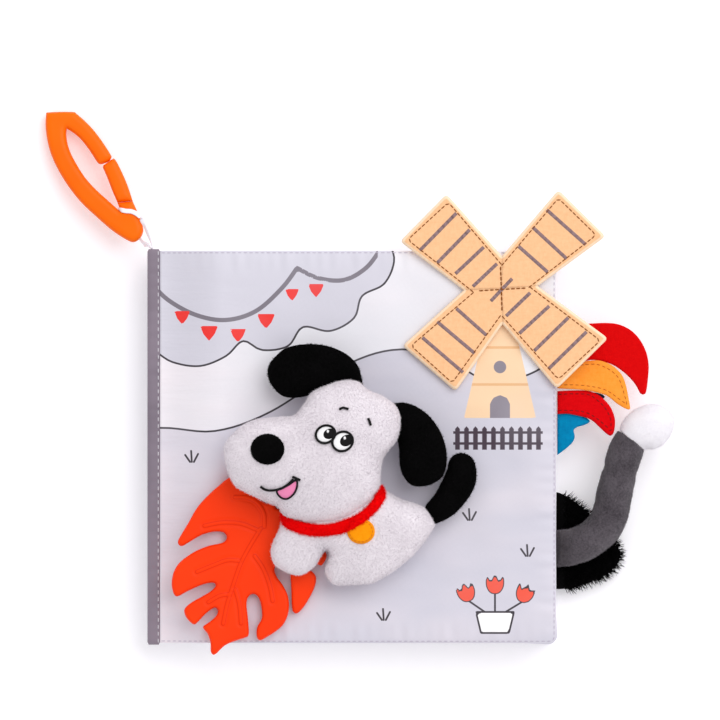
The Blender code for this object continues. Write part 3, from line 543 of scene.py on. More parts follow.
class Grove(Graph):
    def __init__(self, name, sizes, build):
        # build makes the geometry from what the tree is given
        super().__init__(bpy.data.node_groups.new(name, "GeometryNodeTree"))
        face = self.tree.interface
        for way in ("INPUT", "OUTPUT"):
            face.new_socket("Geometry", in_out=way, socket_type="NodeSocketGeometry")
        self.names = {}
        for label, kind in {**sizes, "Material": "Material"}.items():
            made = face.new_socket(label, in_out="INPUT", socket_type="NodeSocket" + kind)
            self.names[label] = made.identifier
        given = self.add("NodeGroupInput", {}, {}).outputs
        real = self.add("GeometryNodeRealizeInstances", {}, {0: build(self.add, given)})
        coat = self.add("GeometryNodeSetMaterial", {}, {0: real, "Material": given["Material"]})
        self.add("NodeGroupOutput", {}, {0: coat})


def rowOfStitches(add, given):
    # thread laid along a line: a fat short stitch at every spacing, turned along the line
    line = add("GeometryNodeMeshToCurve", {}, {"Mesh": given[0]})
    points = add("GeometryNodeCurveToPoints", {"mode": "LENGTH"}, {"Curve": line, "Length": given["Spacing"]})
    bead = add("GeometryNodeMeshIcoSphere", {}, {"Radius": 0.5, "Subdivisions": 2})
    size = add("ShaderNodeCombineXYZ", {}, {0: given["Thickness"], 1: given["Thickness"], 2: given["Stitch"]})
    return add("GeometryNodeInstanceOnPoints", {}, {
        "Points": points, "Instance": bead, "Rotation": points.outputs["Rotation"], "Scale": size})


def coatOfPile(add, given):
    # tapered strands standing on a surface, leaning, combed and varying in length; a bare place grows none
    bare = add("GeometryNodeInputNamedAttribute", {"data_type": "FLOAT"}, {"Name": "bare"})
    covered = add("ShaderNodeMath", {"operation": "SUBTRACT"}, {0: 1.0, 1: bare})
    amount = add("ShaderNodeMath", {"operation": "MULTIPLY"}, {0: covered, 1: given["Density"]})
    points = add("GeometryNodeDistributePointsOnFaces", {}, {
        "Mesh": given[0], "Density": amount, "Seed": given["Seed"]})
    strand = add("GeometryNodeMeshCone", {"fill_type": "NONE"}, {
        "Vertices": 3, "Side Segments": 1, "Radius Top": 0.08, "Radius Bottom": 0.5, "Depth": 1.0})
    wild = add("FunctionNodeRandomValue", {"data_type": "FLOAT_VECTOR"}, {
        "Min": (-1, -1, -1), "Max": (1, 1, 1), "Seed": given["Seed"]})
    lean = add("ShaderNodeVectorMath", {"operation": "SCALE"}, {0: wild, "Scale": given["Lean"]})
    leaning = add("ShaderNodeVectorMath", {"operation": "ADD"}, {0: points.outputs["Normal"], 1: lean})
    combed = add("ShaderNodeVectorMath", {"operation": "ADD"}, {0: leaning, 1: given["Comb"]})
    facing = add("FunctionNodeAlignRotationToVector", {"axis": "Z"}, {"Vector": combed})
    uneven = add("FunctionNodeRandomValue", {"data_type": "FLOAT"}, {2: 0.55, 3: 1.15, "Seed": given["Seed"]})
    reach = add("ShaderNodeMath", {"operation": "MULTIPLY"}, {0: uneven.outputs[1], 1: given["Length"]})
    size = add("ShaderNodeCombineXYZ", {}, {0: given["Thickness"], 1: given["Thickness"], 2: reach})
    return add("GeometryNodeInstanceOnPoints", {}, {
        "Points": points, "Instance": strand, "Rotation": facing, "Scale": size})


stitchRow = Grove("stitchRow", {"Spacing": "Float", "Stitch": "Float", "Thickness": "Float"}, rowOfStitches)
pileCoat = Grove("pileCoat", {"Density": "Float", "Length": "Float", "Thickness": "Float", "Lean": "Float",
                              "Comb": "Vector", "Seed": "Int"}, coatOfPile)


def grown(name, source, grove, material, sizes):
    # what the tree makes from this object, as a plain mesh of its own
    change = source.modifiers.new(grove.tree.name, "NODES")
    change.node_group = grove.tree
    for label, value in {**sizes, "Material": material}.items():
        change[grove.names[label]] = value
    bpy.context.view_layer.update()
    result = source.evaluated_get(bpy.context.evaluated_depsgraph_get())
    mesh = bpy.data.meshes.new_from_object(result)
    source.modifiers.remove(change)
    mesh.polygons.foreach_set("use_smooth", [True] * len(mesh.polygons))
    return placed(name, mesh)


def stitches(name, path, look, material, closed=False):
    # a row of stitches along a path of points
    mesh = bpy.data.meshes.new(name + "Line")
    mesh.from_pydata([tuple(p) for p in path], closing(list(range(len(path))), closed), [])
    line = placed(name + "Line", mesh)
    made = grown(name, line, stitchRow, material, {
        "Spacing": look["spacing"], "Stitch": look["stitch"], "Thickness": look["yarn"]})
    bpy.data.objects.remove(line)
    return made


def pile(name, source, material, density, length, thickness, lean, seed, comb=(0, 0, 0)):
    return grown(name, source, pileCoat, material, {
        "Density": density, "Length": length, "Thickness": thickness, "Lean": lean, "Comb": comb,
        "Seed": seed})


def finished(piece, body, slotName, *replaced):
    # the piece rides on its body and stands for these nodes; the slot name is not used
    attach(piece, body)
    if replaced:
        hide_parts(*replaced)
    return piece


# The stage: a white floor, a far lens straight above, a soft light from the upper right

stage = {
    "eye": (3.15 * mm, 36.54 * mm), "away": 8.0, "view": 302.4 * mm, "floor": (240, 238, 243), "sun": 1.35,
    "sunTurn": (26, 26), "cover": 26.9 * mm, "floorHalf": 3, "floorLow": -0.6 * mm, "sunWidth": 50,
    "sky": 0.8, "glow": 0.22}


def makeStage():
    camera = bpy.data.cameras.new("photoCamera")
    camera.lens = camera.sensor_width * stage["away"] / stage["view"]
    camera.clip_end = 20
    seen = placed("photoCamera", camera)
    seen.location = (*stage["eye"], stage["away"] + stage["cover"])
    bpy.context.scene.camera = seen

    light = bpy.data.lights.new("sun", "SUN")
    light.energy = stage["sun"]
    light.angle = radians(stage["sunWidth"])
    placed("sun", light).rotation_euler = (-radians(stage["sunTurn"][0]), radians(stage["sunTurn"][1]), 0)

    paint = Finish("floorPaint", 0.9)
    paint.fill(paint.shader, {"Emission Color": (255, 255, 255), "Emission Strength": stage["glow"]})
    wide, low = stage["floorHalf"], stage["floorLow"]
    corners = [(-wide, -wide, low), (wide, -wide, low), (wide, wide, low), (-wide, wide, low)]
    meshPiece("floor", corners, [(0, 1, 2, 3)], paint.done(stage["floor"]), outwards=False)

    world = bpy.data.worlds.new("sky")
    bpy.context.scene.world = world
    world.use_nodes = True
    sky = Graph(world.node_tree)
    rays = sky.add("ShaderNodeLightPath", {}, {}).outputs
    seenPlain = sky.add("ShaderNodeMath", {"operation": "MAXIMUM"}, {
        0: rays["Is Camera Ray"], 1: rays["Is Transmission Ray"]})
    level = sky.add("ShaderNodeMix", {}, {0: seenPlain, 2: stage["sky"], 3: 1.0})
    sky.fill(world.node_tree.nodes["Background"], {"Color": (255, 255, 255), "Strength": level})
    bpy.context.scene.view_settings.view_transform = "Standard"


makeStage()
print("stage done")

# Panels: five padded sheets of the book, sewn together in the binding

book = {
    "hinge": -80.65 * mm, "right": 86.3 * mm, "top": 83.2 * mm, "soft": 14 * mm, "slope": 26 * mm,
    "seam": 0.6 * mm, "sideDraw": 0.8 * mm, "cornerPull": 1.5 * mm, "start": -80.95 * mm,
    "pucker": 0.42 * mm, "puckerDepth": 11 * mm, "wrinkle": 0.26 * mm, "edgeRoom": 1.5 * mm,
    "topRoom": 0.45 * mm, "deepest": 0.5 * mm, "underRoom": 0.1 * mm, "corner": 5 * mm}

panels = {
    "back_cover": {"seam": 10.3 * mm, "far": 2.8 * mm, "full": 2.8 * mm},
    "leaf_3": {"seam": 11.8 * mm, "far": 8.3 * mm, "full": 2.3 * mm, "under": "back_cover"},
    "leaf_2": {"seam": 13.3 * mm, "far": 13.3 * mm, "full": 2.3 * mm, "under": "leaf_3"},
    "leaf_1": {"seam": 14.8 * mm, "far": 18.3 * mm, "full": 2.3 * mm, "under": "leaf_2"},
    "front_cover": {"seam": 16.3 * mm, "far": 23.8 * mm, "full": 2.8 * mm, "under": "leaf_1"}}


def easeIn(t):
    t = np.clip(t, 0, 1)
    return t * t * (3 - 2 * t)


def waves(xs, ys, seed):
    # soft random creases: a sum of slanted sines
    random = np.random.default_rng(seed)
    total = np.zeros(np.shape(xs))
    for _ in range(9):
        angle = random.uniform(0, pi)
        reach = random.uniform(14, 42) * mm
        total += np.sin((xs * cos(angle) + ys * sin(angle)) * 2 * pi / reach + random.uniform(0, 2 * pi)
                        + 1.3 * np.sin((xs * sin(angle) - ys * cos(angle)) * 2 * pi / (reach * 2.3)))
    return total / 5


def gathers(along, seed):
    # puckers that the sewing thread draws along an edge
    random = np.random.default_rng(seed)
    total = np.zeros(np.shape(along))
    for reach in (5.2, 7.4, 11.0):
        total += np.sin(along * 2 * pi / (reach * mm) + random.uniform(0, 6) + np.sin(along * 31 + seed))
    return total / 2


def panelSteps(start, end, step):
    # even steps that grow closer over the soft edge
    even = np.arange(start, end - book["soft"], step)
    edge = end - book["soft"] * (1 - np.sin(np.linspace(0, pi / 2, 15)))
    return np.concatenate([even, edge[edge > even[-1] + step / 2]])


def panelMesh(name, step, material, seed):
    size, soft = panels[name], book["soft"]
    upper = panelSteps(0, book["top"], step)
    ys = np.concatenate([-upper[:0:-1], upper])
    gridX, gridY = np.meshgrid(panelSteps(book["start"], book["right"], step), ys, indexing="ij")
    fromRight, fromEnd = book["right"] - gridX, book["top"] - np.abs(gridY)
    fromEdge = np.minimum(fromRight, fromEnd)
    slope = easeIn((gridX - book["hinge"]) / book["slope"])
    crown = slope * rounded(fromRight, soft) * rounded(fromEnd, soft)
    middle = size["seam"] + (size["far"] - size["seam"]) * slope
    nearEdge = np.clip(1 - fromEdge / book["puckerDepth"], 0, 1)
    drawn = gathers(np.where(fromRight < fromEnd, gridY, gridX), seed) * book["pucker"] * nearEdge
    drawn = drawn * np.clip(fromEdge / book["edgeRoom"], 0, 1)
    crease = waves(gridX, gridY, seed) * book["wrinkle"] * (1 - nearEdge) * slope
    room = size["full"] - book["seam"]
    high = book["seam"] + (room - book["topRoom"]) * crown
    high += np.clip(drawn + crease, -book["deepest"], book["topRoom"]) * crown
    low = book["seam"] + (room - book["underRoom"]) * crown
    pull = book["cornerPull"]
    for away in (fromRight, fromEnd):
        pull = pull * (1 - np.clip(away / book["corner"], 0, 1)) ** 2
    drawnIn = [pull + book["sideDraw"] * np.clip(1 - here / soft, 0, 1) ** 2 * np.clip(there / soft, 0, 1)
               for here, there in ((fromRight, fromEnd), (fromEnd, fromRight))]
    px, py = gridX - drawnIn[0], gridY - np.sign(gridY) * drawnIn[1]
    columns, rows = gridX.shape
    count = columns * rows
    faces = []
    for i in range(columns - 1):
        for j in range(rows - 1):
            a, b, c, d = i * rows + j, (i + 1) * rows + j, (i + 1) * rows + j + 1, i * rows + j + 1
            faces += [(a, b, c, d), (count + d, count + c, count + b, count + a)]
    rim = [i * rows for i in range(columns)] + [(columns - 1) * rows + j for j in range(1, rows)]
    rim += [i * rows + rows - 1 for i in range(columns - 2, -1, -1)] + [j for j in range(rows - 2, 0, -1)]
    faces += [(b, a, a + count, b + count) for a, b in closing(rim)]
    spots = np.concatenate([np.stack([px, py, level], 2).reshape(-1, 3)
                            for level in (middle + high, middle - low)])
    piece = meshPiece(name + "_panel", spots, faces, material, outwards=False)
    held = piece.data.attributes.new("flat", "FLOAT_VECTOR", "POINT")
    held.data.foreach_set("vector", spots.astype(np.float32).reshape(-1))
    return piece


# The cover's print: clouds, bunting, a mill tower, a picket fence, a pot of tulips and grass, with a painted
# sheen on the folds

sketch = {
    "cloud": [(120, 352), (150, 350), (172, 362), (200, 366), (226, 356), (243, 341), (262, 350),
        (288, 346), (303, 327), (330, 331), (354, 318), (362, 296), (384, 284), (394, 262), (390, 242),
        (380, 200), (120, 200)],
    "hill": [(100, 436), (160, 428), (215, 431), (270, 412), (340, 368), (392, 350), (440, 356), (490, 382),
        (530, 374), (560, 358), (620, 350), (620, 720), (100, 720)], "cordWidth": 4.6,
    "cordEnds": (150, 378), "stemRoot": (495, 612), "blades": [(-7, 7), (-1, 11), (6, 8)],
    "cloudShade": (196, 193, 206),
    "petals": [(-8, -7), (-4, -2), (0, -9), (4, -2), (8, -7), (8.5, 2), (4, 9), (-4, 9), (-8.5, 2)],
    "pennants": [(182, 311, 8, 10), (209, 326, 9, 11), (238, 329, 8, 10), (266, 314, 9, 11),
        (292, 289, 7, 9), (316, 284, 8, 10)],
    "cord": [(150, 282), (168, 300), (196, 315), (226, 320), (256, 311), (282, 288), (297, 268), (318, 278),
        (344, 280), (366, 268), (380, 250)],
    "tower": [(488, 322), (512, 322), (519, 345), (536, 418), (464, 418), (481, 345)],
    "door": [(490, 420), (490, 404), (493, 398), (500, 395), (507, 398), (510, 404), (510, 420)],
    "window": (500, 367, 6.5), "bands": [(346, 349), (383, 386)], "rails": [(431, 434), (442, 445)],
    "fence": (453, 543, 450, 426), "picket": 9.0, "picketWidth": 5.4,
    "pot": [(476, 612), (514, 612), (509, 633), (481, 633)],
    "blooms": [(466, 592, 0.35), (495, 584, 0.0), (525, 593, -0.35)],
    "tufts": [(192, 462), (470, 520), (528, 556), (384, 620)], "line": 0.4 * mm, "soft": 0.12 * mm,
    # glow is the colour of the painted sheen laid over the cover's folds
    "drawn": 42 * mm, "glow": (242, 230, 236), "sky": (229, 227, 234), "cloudFill": (208, 205, 217),
    "ground": (204, 201, 214), "lineInk": (44, 36, 46), "cordInk": (120, 113, 124),
    "pennantInk": (236, 32, 22), "towerInk": (248, 212, 174), "bandInk": (230, 180, 130),
    "doorInk": (136, 128, 140), "fenceInk": (52, 30, 50), "bloomInk": (238, 78, 52),
    "potInk": (250, 248, 250)}


def pennantShape(across, down, wide, deep):
    # a small flag with a round foot that hangs from the cord
    return pixels([(across - wide, down), (across + wide, down), (across + wide * 0.62, down + deep * 0.75),
                   (across, down + deep * 1.35), (across - wide * 0.62, down + deep * 0.75)])


def bloomShape(across, down, lean):
    petals = [(across + x * cos(lean) + y * sin(lean), down + y * cos(lean) - x * sin(lean))
              for x, y in sketch["petals"]]
    return smoothLoop(pixels(petals), 1 * mm)


def printFields(piece):
    # for every place on the cover, how far it is from each motif's outline
    xs, ys = placesOf(piece)[:, :2].T
    shapes = {name: [pixels(sketch[name])] for name in ("tower", "door", "pot")}
    shapes["cloud"] = [smoothLoop(pixels(sketch["cloud"]), 2 * mm)]
    shapes["hill"] = [smoothLoop(pixels(sketch["hill"]), 4 * mm)]
    shapes["flags"] = [pennantShape(*flag) for flag in sketch["pennants"]]
    shapes["blooms"] = [bloomShape(*bloom) for bloom in sketch["blooms"]]
    for name, lines in shapes.items():
        painted(piece, name, shapeDistance(xs, ys, *lines))
    cord = smoothLoop(pixels(sketch["cord"]), 2 * mm, closed=False, sharp=(6,))
    painted(piece, "cord", distanceTo(xs, ys, cord, closed=False))


def strokeTo(place, start, end):
    # the distance to a straight stroke, worked out in the material so that it stays sharp
    start, end = atPixel(*start), atPixel(*end)
    run = [b - a for a, b in zip(start, end)]
    reach = run[0] ** 2 + run[1] ** 2
    share = sum((way - a) * (d / reach) for way, a, d in zip(place, start, run)).clamped()
    return sum((way - a - share * d) ** 2 for way, a, d in zip(place, start, run)) ** 0.5


def coverPrint():
    finish = Finish("cover_print", 0.5, 0.1, laidFlat=True)
    x, y = finish.split(finish.place())
    soft, line = sketch["soft"], sketch["line"]
    across = x / photo["pixel"] + photo["originX"]
    down = photo["originY"] - y / photo["pixel"]

    def filled(name):
        return (finish.attribute(name) / -soft + 0.5).clamped()

    def outlined(name, width=line):
        return ((width - abs(finish.attribute(name))) / soft + 0.5).clamped()

    def band(value, low, high, edge=0.4):
        return ((value - low) / edge).clamped() * ((high - value) / edge).clamped()

    def layered(colour, *layers):
        for share, name in layers:
            colour = finish.mix(share, colour, sketch[name])
        return colour

    # painted sheen: a pale pinkish tint over the folds, stronger towards the binding
    nearBinding = (1 - (x - book["start"]) / sketch["drawn"]).clamped()
    streaks = finish.noise(1, 3, 0.55, finish.turned(0.0, (22, 150, 1)))
    folds = finish.noise(1, 2, 0.5, finish.turned(0.5, (17, 42, 1)))
    glow = ((folds - 0.45) * 1.6 + nearBinding * 0.7).clamped() * 0.6
    cord = ((sketch["cordWidth"] * photo["pixel"] / 2 - finish.attribute("cord")) / (0.1 * mm)).clamped()

    windowX, windowY, radius = sketch["window"]
    fromWindow = ((across - windowX) ** 2 + (down - windowY) ** 2) ** 0.5
    tower = finish.mix(finish.noise(60, 2), sketch["towerInk"], sketch["bandInk"])
    tower = layered(tower, (0.75, "towerInk"), *((band(down, *rows), "bandInk") for rows in sketch["bands"]),
                    (((radius - fromWindow) * 2).clamped(), "doorInk"), (filled("door"), "doorInk"))

    left, right, foot, head = sketch["fence"]
    fromSlat = abs(((across - left) / sketch["picket"]).fraction() - 0.5)
    slat = ((sketch["picketWidth"] / sketch["picket"] / 2 - fromSlat) * 14).clamped()
    slat = slat * ((down - (head + fromSlat * 10)) * 2).clamped() * ((foot - down) * 2).clamped()
    for low, high in sketch["rails"]:
        slat = slat.over(band(down, low, high))

    root = sketch["stemRoot"]
    strokes = [((bloomX + 4 * lean, bloomY + 8), (root[0] + (bloomX - root[0]) * 0.35, root[1]))
               for bloomX, bloomY, lean in sketch["blooms"]]
    strokes += [((tuftX + reach * 0.3, tuftY), (tuftX + reach, tuftY - lift))
                for tuftX, tuftY in sketch["tufts"] for reach, lift in sketch["blades"]]
    stroke = strokeTo((x, y), *strokes[0])
    for ends in strokes[1:]:
        stroke = stroke.under(strokeTo((x, y), *ends))

    colour = finish.mix(filled("hill"), sketch["sky"], sketch["ground"])
    colour = layered(colour, (glow, "glow"), (outlined("hill"), "lineInk"), (filled("cloud"), "cloudFill"),
                     (outlined("cloud"), "lineInk"), (cord * band(across, *sketch["cordEnds"]), "cordInk"),
                     (filled("flags"), "pennantInk"))
    colour = finish.mix(filled("tower"), colour, tower)
    colour = layered(colour, (slat * band(across, left, right), "fenceInk"),
                     (((line - stroke) / soft + 0.5).clamped(), "lineInk"), (filled("pot"), "potInk"),
                     (outlined("pot"), "lineInk"), (filled("blooms"), "bloomInk"),
                     (outlined("blooms", 0.2 * mm), "lineInk"),
                     (((finish.noise(26, 3) - 0.5) * 0.9).clamped() * 0.5, "cloudShade"))
    drawn = finish.bump(folds + streaks * nearBinding * 0.7, 0.7, 1.4 * mm)
    cloth = finish.weave(0.5 * mm, radians(8)) * 0.4 + finish.noise(110, 4, 0.6) * 1.6
    return finish.done(colour, finish.bump(cloth, 0.4, 0.16 * mm, drawn))


pageLook = {
    "dots": {"leaf_1": (250, 196, 120), "leaf_2": (150, 204, 206), "leaf_3": (240, 156, 140)},
    "pitch": 21 * mm, "radius": 0.17, "reach": 70 * mm, "lining": (236, 229, 213),
    "liningShade": (226, 218, 200), "liningDot": (150, 192, 150), "cover": 0.9 * mm, "leaf": 1.7 * mm,
    "page": (239, 237, 242), "pageShade": (225, 222, 231), "back": (222, 220, 228),
    "backShade": (208, 205, 214), "bendEnd": -70 * mm}


def bentPage(piece):
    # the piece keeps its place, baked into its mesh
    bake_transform(piece)


def makePanels():
    size = {key: pageLook[key] for key in ("pitch", "radius", "reach")}
    looks = {name: satin(name + "_satin", pageLook["page"], pageLook["pageShade"], 0.5,
                         {"colour": dot, **size})
             for name, dot in pageLook["dots"].items()}
    lining = satin("lining_satin", pageLook["lining"], pageLook["liningShade"], 0.5,
                   {"colour": pageLook["liningDot"], **size})
    looks["back_cover"] = satin("back_satin", pageLook["back"], pageLook["backShade"])
    looks["front_cover"] = coverPrint()
    made = {}
    for index, name in enumerate(panels):
        isCover, front = name.endswith("cover"), name == "front_cover"
        panel = panelMesh(name, pageLook["cover" if front else "leaf"], looks[name], 3 + index)
        if isCover:
            panel.data.materials.append(lining)
            insideUp = -1 if front else 1
            panel.data.polygons.foreach_set("material_index", [
                int(face.normal.z * insideUp > 0.2) for face in panel.data.polygons])
        if front:
            printFields(panel)
        parts = ("cloth", "lining") if isCover else ("front_cloth", "back_cloth")
        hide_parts(*(name + "_" + part for part in (*parts, "batting", "crinkle_film")))
        if "under" in panels[name]:
            bentPage(panel)
        else:
            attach(panel, name)
        made[name] = panel
    return made


seams = {
    "inset": 0.8 * mm, "spacing": 2.4 * mm, "stitch": 1.7 * mm, "yarn": 0.34 * mm, "from": -79.6 * mm,
    "step": 1.2 * mm, "lift": 0.03 * mm, "colour": (196, 188, 204), "shade": (168, 158, 178),
    "corner": 2.2 * mm}


def makeCoverSeam(cover):
    # the stitch line round the cover's three free sides
    yarn = thread("cover_thread", seams["colour"], seams["shade"])
    right, top = (book[side] - book["sideDraw"] - seams["inset"] for side in ("right", "top"))
    corners = [(seams["from"], top), (right, top), (right, -top), (seams["from"], -top)]
    line = divided(roundedCorners(corners, seams["corner"], (1, 2)), seams["step"])
    row = stitches("front_cover_seam", drapedLine(line, surfaceOf(cover), seams["lift"]), seams, yarn)
    bentPage(row)


makeCoverSeam(makePanels()["front_cover"])
print("panels done")

# The binding strip, folded over the panels' edges, with its stitch line

binding = {
    "left": -86.3 * mm, "right": -80.95 * mm, "low": 9.7 * mm, "high": 16.9 * mm, "end": 83.2 * mm,
    "corner": 1.3 * mm, "pucker": 0.22 * mm, "colour": (128, 115, 129), "shade": (88, 78, 92),
    "stitchIn": 0.75 * mm, "seamLift": 0.02 * mm, "spacing": 2.9 * mm, "stitch": 1.9 * mm,
    "yarn": 0.42 * mm, "fold": 1.5 * mm, "seamEnd": 81.5 * mm, "dips": (272, 376), "dipWidth": 1.6 * mm,
    "dipDepth": 0.35 * mm, "endRound": 1.2 * mm, "stitchShade": (190, 186, 194),
    "stitchInk": (226, 222, 228)}


def makeBinding():
    left, right, low, high = (binding[side] for side in ("left", "right", "low", "high"))
    bend, end, fold = binding["corner"], binding["end"], right - binding["fold"]
    section = [(right, high), (fold, high), (left + bend * 1.6, high)]
    section += [(left + bend - bend * sin(a), high - bend + bend * cos(a)) for a in (0.3, 0.8, 1.3)]
    section += [(left, (low + high) / 2)]
    section += [(left + bend - bend * cos(a), low + bend - bend * sin(a)) for a in (0.3, 0.8, 1.3)]
    section += [(left + bend * 1.6, low), (fold, low), (right, low), (right, (low + high) / 2)]
    rows = np.linspace(-end, end, 150)
    drawn = gathers(rows, 5) * binding["pucker"]
    dips = sum(np.exp(-((rows - atPixel(0, down)[1]) / binding["dipWidth"]) ** 2) for down in binding["dips"])
    verts = []
    centreX, centreZ = (left + right) / 2, (low + high) / 2
    for row, y in enumerate(rows):
        nearEnd = min((end - abs(y)) / binding["endRound"], 1)
        shrink = 0.8 + 0.2 * sqrt(max(1 - (1 - nearEnd) ** 2, 0))
        pull = drawn[row] * nearEnd - binding["dipDepth"] * dips[row]
        swell = shrink * (1 + min(pull, 0) / ((high - low) / 2))
        verts += [(centreX + (x - centreX) * shrink, y, centreZ + (z - centreZ) * swell) for x, z in section]
    cloth = satin("binding_satin", binding["colour"], binding["shade"], 0.55)
    strip = meshPiece("binding_strip", verts, ringFaces(len(rows), len(section)), cloth)
    finished(strip, "back_cover", "binding_cloth", "spine_binding", "spine_seam_bundle")
    yarn = thread("binding_thread", binding["stitchInk"], binding["stitchShade"])
    seamEnd = binding["seamEnd"]
    path = [(right - binding["stitchIn"], y, high + binding["seamLift"])
            for y in np.linspace(-seamEnd, seamEnd, 100)]
    finished(stitches("binding_stitches", path, binding, yarn), "back_cover", "binding_cloth")


makeBinding()
print("binding done")

# The clip: a moulded hook with a sprung gate, tilted down as the ribbon holds it, and its white ribbon

clip = {
    "root": (-84.599 * mm, 84.1 * mm, 15.55 * mm), "axis": (0.84339, 0.5373, 0), "tilt": -8.327,
    "low": -5.0 * mm, "thickness": 5.5 * mm, "edge": 2.6 * mm, "ribbonTurn": 7 * mm, "step": 0.7 * mm,
    "crop": (40, 100, 9.8),
    "ring": [(50, 112), (130, 107), (220, 105), (325, 108), (345, 122), (430, 195), (520, 290), (610, 410),
        (680, 520), (690, 548), (668, 585), (620, 608), (578, 616), (550, 598), (480, 490), (400, 385),
        (330, 320), (252, 268), (244, 300), (254, 400), (290, 510), (360, 640), (440, 760), (540, 870),
        (650, 970), (775, 1082), (778, 1072), (752, 1000), (900, 985), (935, 1060), (970, 1145),
        (1003, 1250), (988, 1320), (950, 1365), (900, 1383), (830, 1355), (700, 1270), (560, 1150),
        (400, 1000), (270, 840), (160, 660), (90, 500), (55, 350), (43, 220)],
    "ringCorners": (0, 17, 25, 27, 28),
    "gate": [(608, 650), (628, 622), (700, 572), (728, 574), (790, 690), (850, 830), (899, 979), (750, 994),
        (700, 880), (650, 750)], "gateCorners": (6, 7), "colour": (252, 114, 0), "shade": (250, 96, 0),
    "ribbon": [(1100, 1462, -2.4), (1085, 1400, -1.6), (1058, 1320, -0.4), (1022, 1228, 0.7),
        (975, 1140, 0.95), (905, 1096, 1.0), (840, 1088, 1.0), (796, 1078, 0.8), (772, 1068, -0.6),
        (766, 1064, -2.3), (772, 1068, -4.2), (800, 1090, -5.5), (860, 1170, -5.7), (930, 1290, -5.7),
        (990, 1372, -5.2), (1050, 1420, -3.8), (1097, 1456, -2.9)], "ribbonWidth": 1.9 * mm,
    "ribbonEnd": 3.2 * mm, "ribbonThick": 0.42 * mm, "white": (244, 240, 248),
    "whiteShade": (220, 214, 228)}


def onClip(points):
    # crop places in the clip's own plane, measured from its root and freed of the tilt
    along = Vector((-clip["axis"][1], clip["axis"][0]))
    rootX, rootY, rootZ = clip["root"]
    flat = []
    for x, y in fromCrop(clip["crop"], points):
        away = Vector((x - rootX, y - rootY))
        reach = away.dot(along)
        away += along * (reach / cos(radians(clip["tilt"])) - reach)
        flat.append((away.x, away.y))
    return flat


def tiltClip(piece):
    turn = Matrix.Rotation(radians(clip["tilt"]), 4, Vector(clip["axis"]))
    piece.data.transform(Matrix.Translation(clip["root"]) @ turn)
    return piece


def flatStrap(name, path, widths, thickness, material):
    # a ribbon: path points with the direction and the size of its width at each
    verts = []
    corners = ((-1, -1), (-0.6, -1), (0.6, -1), (1, -1), (1, 1), (0.6, 1), (-0.6, 1), (-1, 1))
    for here, across, heading in zip(path, widths, headings(path)):
        across = Vector(across)
        lift = heading.cross(across).normalized() * (thickness / 2)
        verts += [Vector(here) + across * (side / 2) + lift * (up * (0.55 if abs(side) == 1 else 1))
                  for side, up in corners]
    return meshPiece(name, verts, ringFaces(len(path), len(corners)), material)


def makeClip():
    plastic = moulded("clip_plastic_skin", clip, 0.34)
    for name, key, body, node in (("clip_hook", "ring", "clip", "clip_ring"),
                                  ("clip_gate_bar", "gate", "clip_gate_arm", "clip_gate")):
        edge = smoothLoop(onClip(clip[key]), clip["step"], sharp=clip[key + "Corners"])
        piece = flatShape(name, edge, clip["step"], clip, clip["low"], plastic)
        finished(tiltClip(piece), body, "clip_plastic", node)
    flat = onClip([(across, down) for across, down, level in clip["ribbon"]])
    knots = [(x, y, level * mm) for (x, y), (across, down, level) in zip(flat, clip["ribbon"])]
    path = smoothLoop(knots, 0.5 * mm, closed=False)
    lying = Vector((clip["axis"][1], -clip["axis"][0], 0))
    widths = []
    for here, heading in zip(path, headings(path)):
        # the ribbon leaves the binding on edge and lies flat in the clip's loop
        near = max(1 - (Vector(here) - Vector(path[0])).length / clip["ribbonTurn"], 0)
        near = near * near * (3 - 2 * near)
        across = lying * (1 - near) + Vector((0, 0, 1)) * near
        across -= heading * across.dot(heading)
        width = clip["ribbonWidth"] + (clip["ribbonEnd"] - clip["ribbonWidth"]) * near
        widths.append(across.normalized() * width)
    cloth = satin("ribbon_satin", clip["white"], clip["whiteShade"], 0.5)
    strap = flatStrap("clip_strap", path, widths, clip["ribbonThick"], cloth)
    finished(tiltClip(strap), "clip", "ribbon", "clip_ribbon")


makeClip()
print("clip done")

# Felt sails: four blades, each with its quarter of the hub, slats and a stitch line

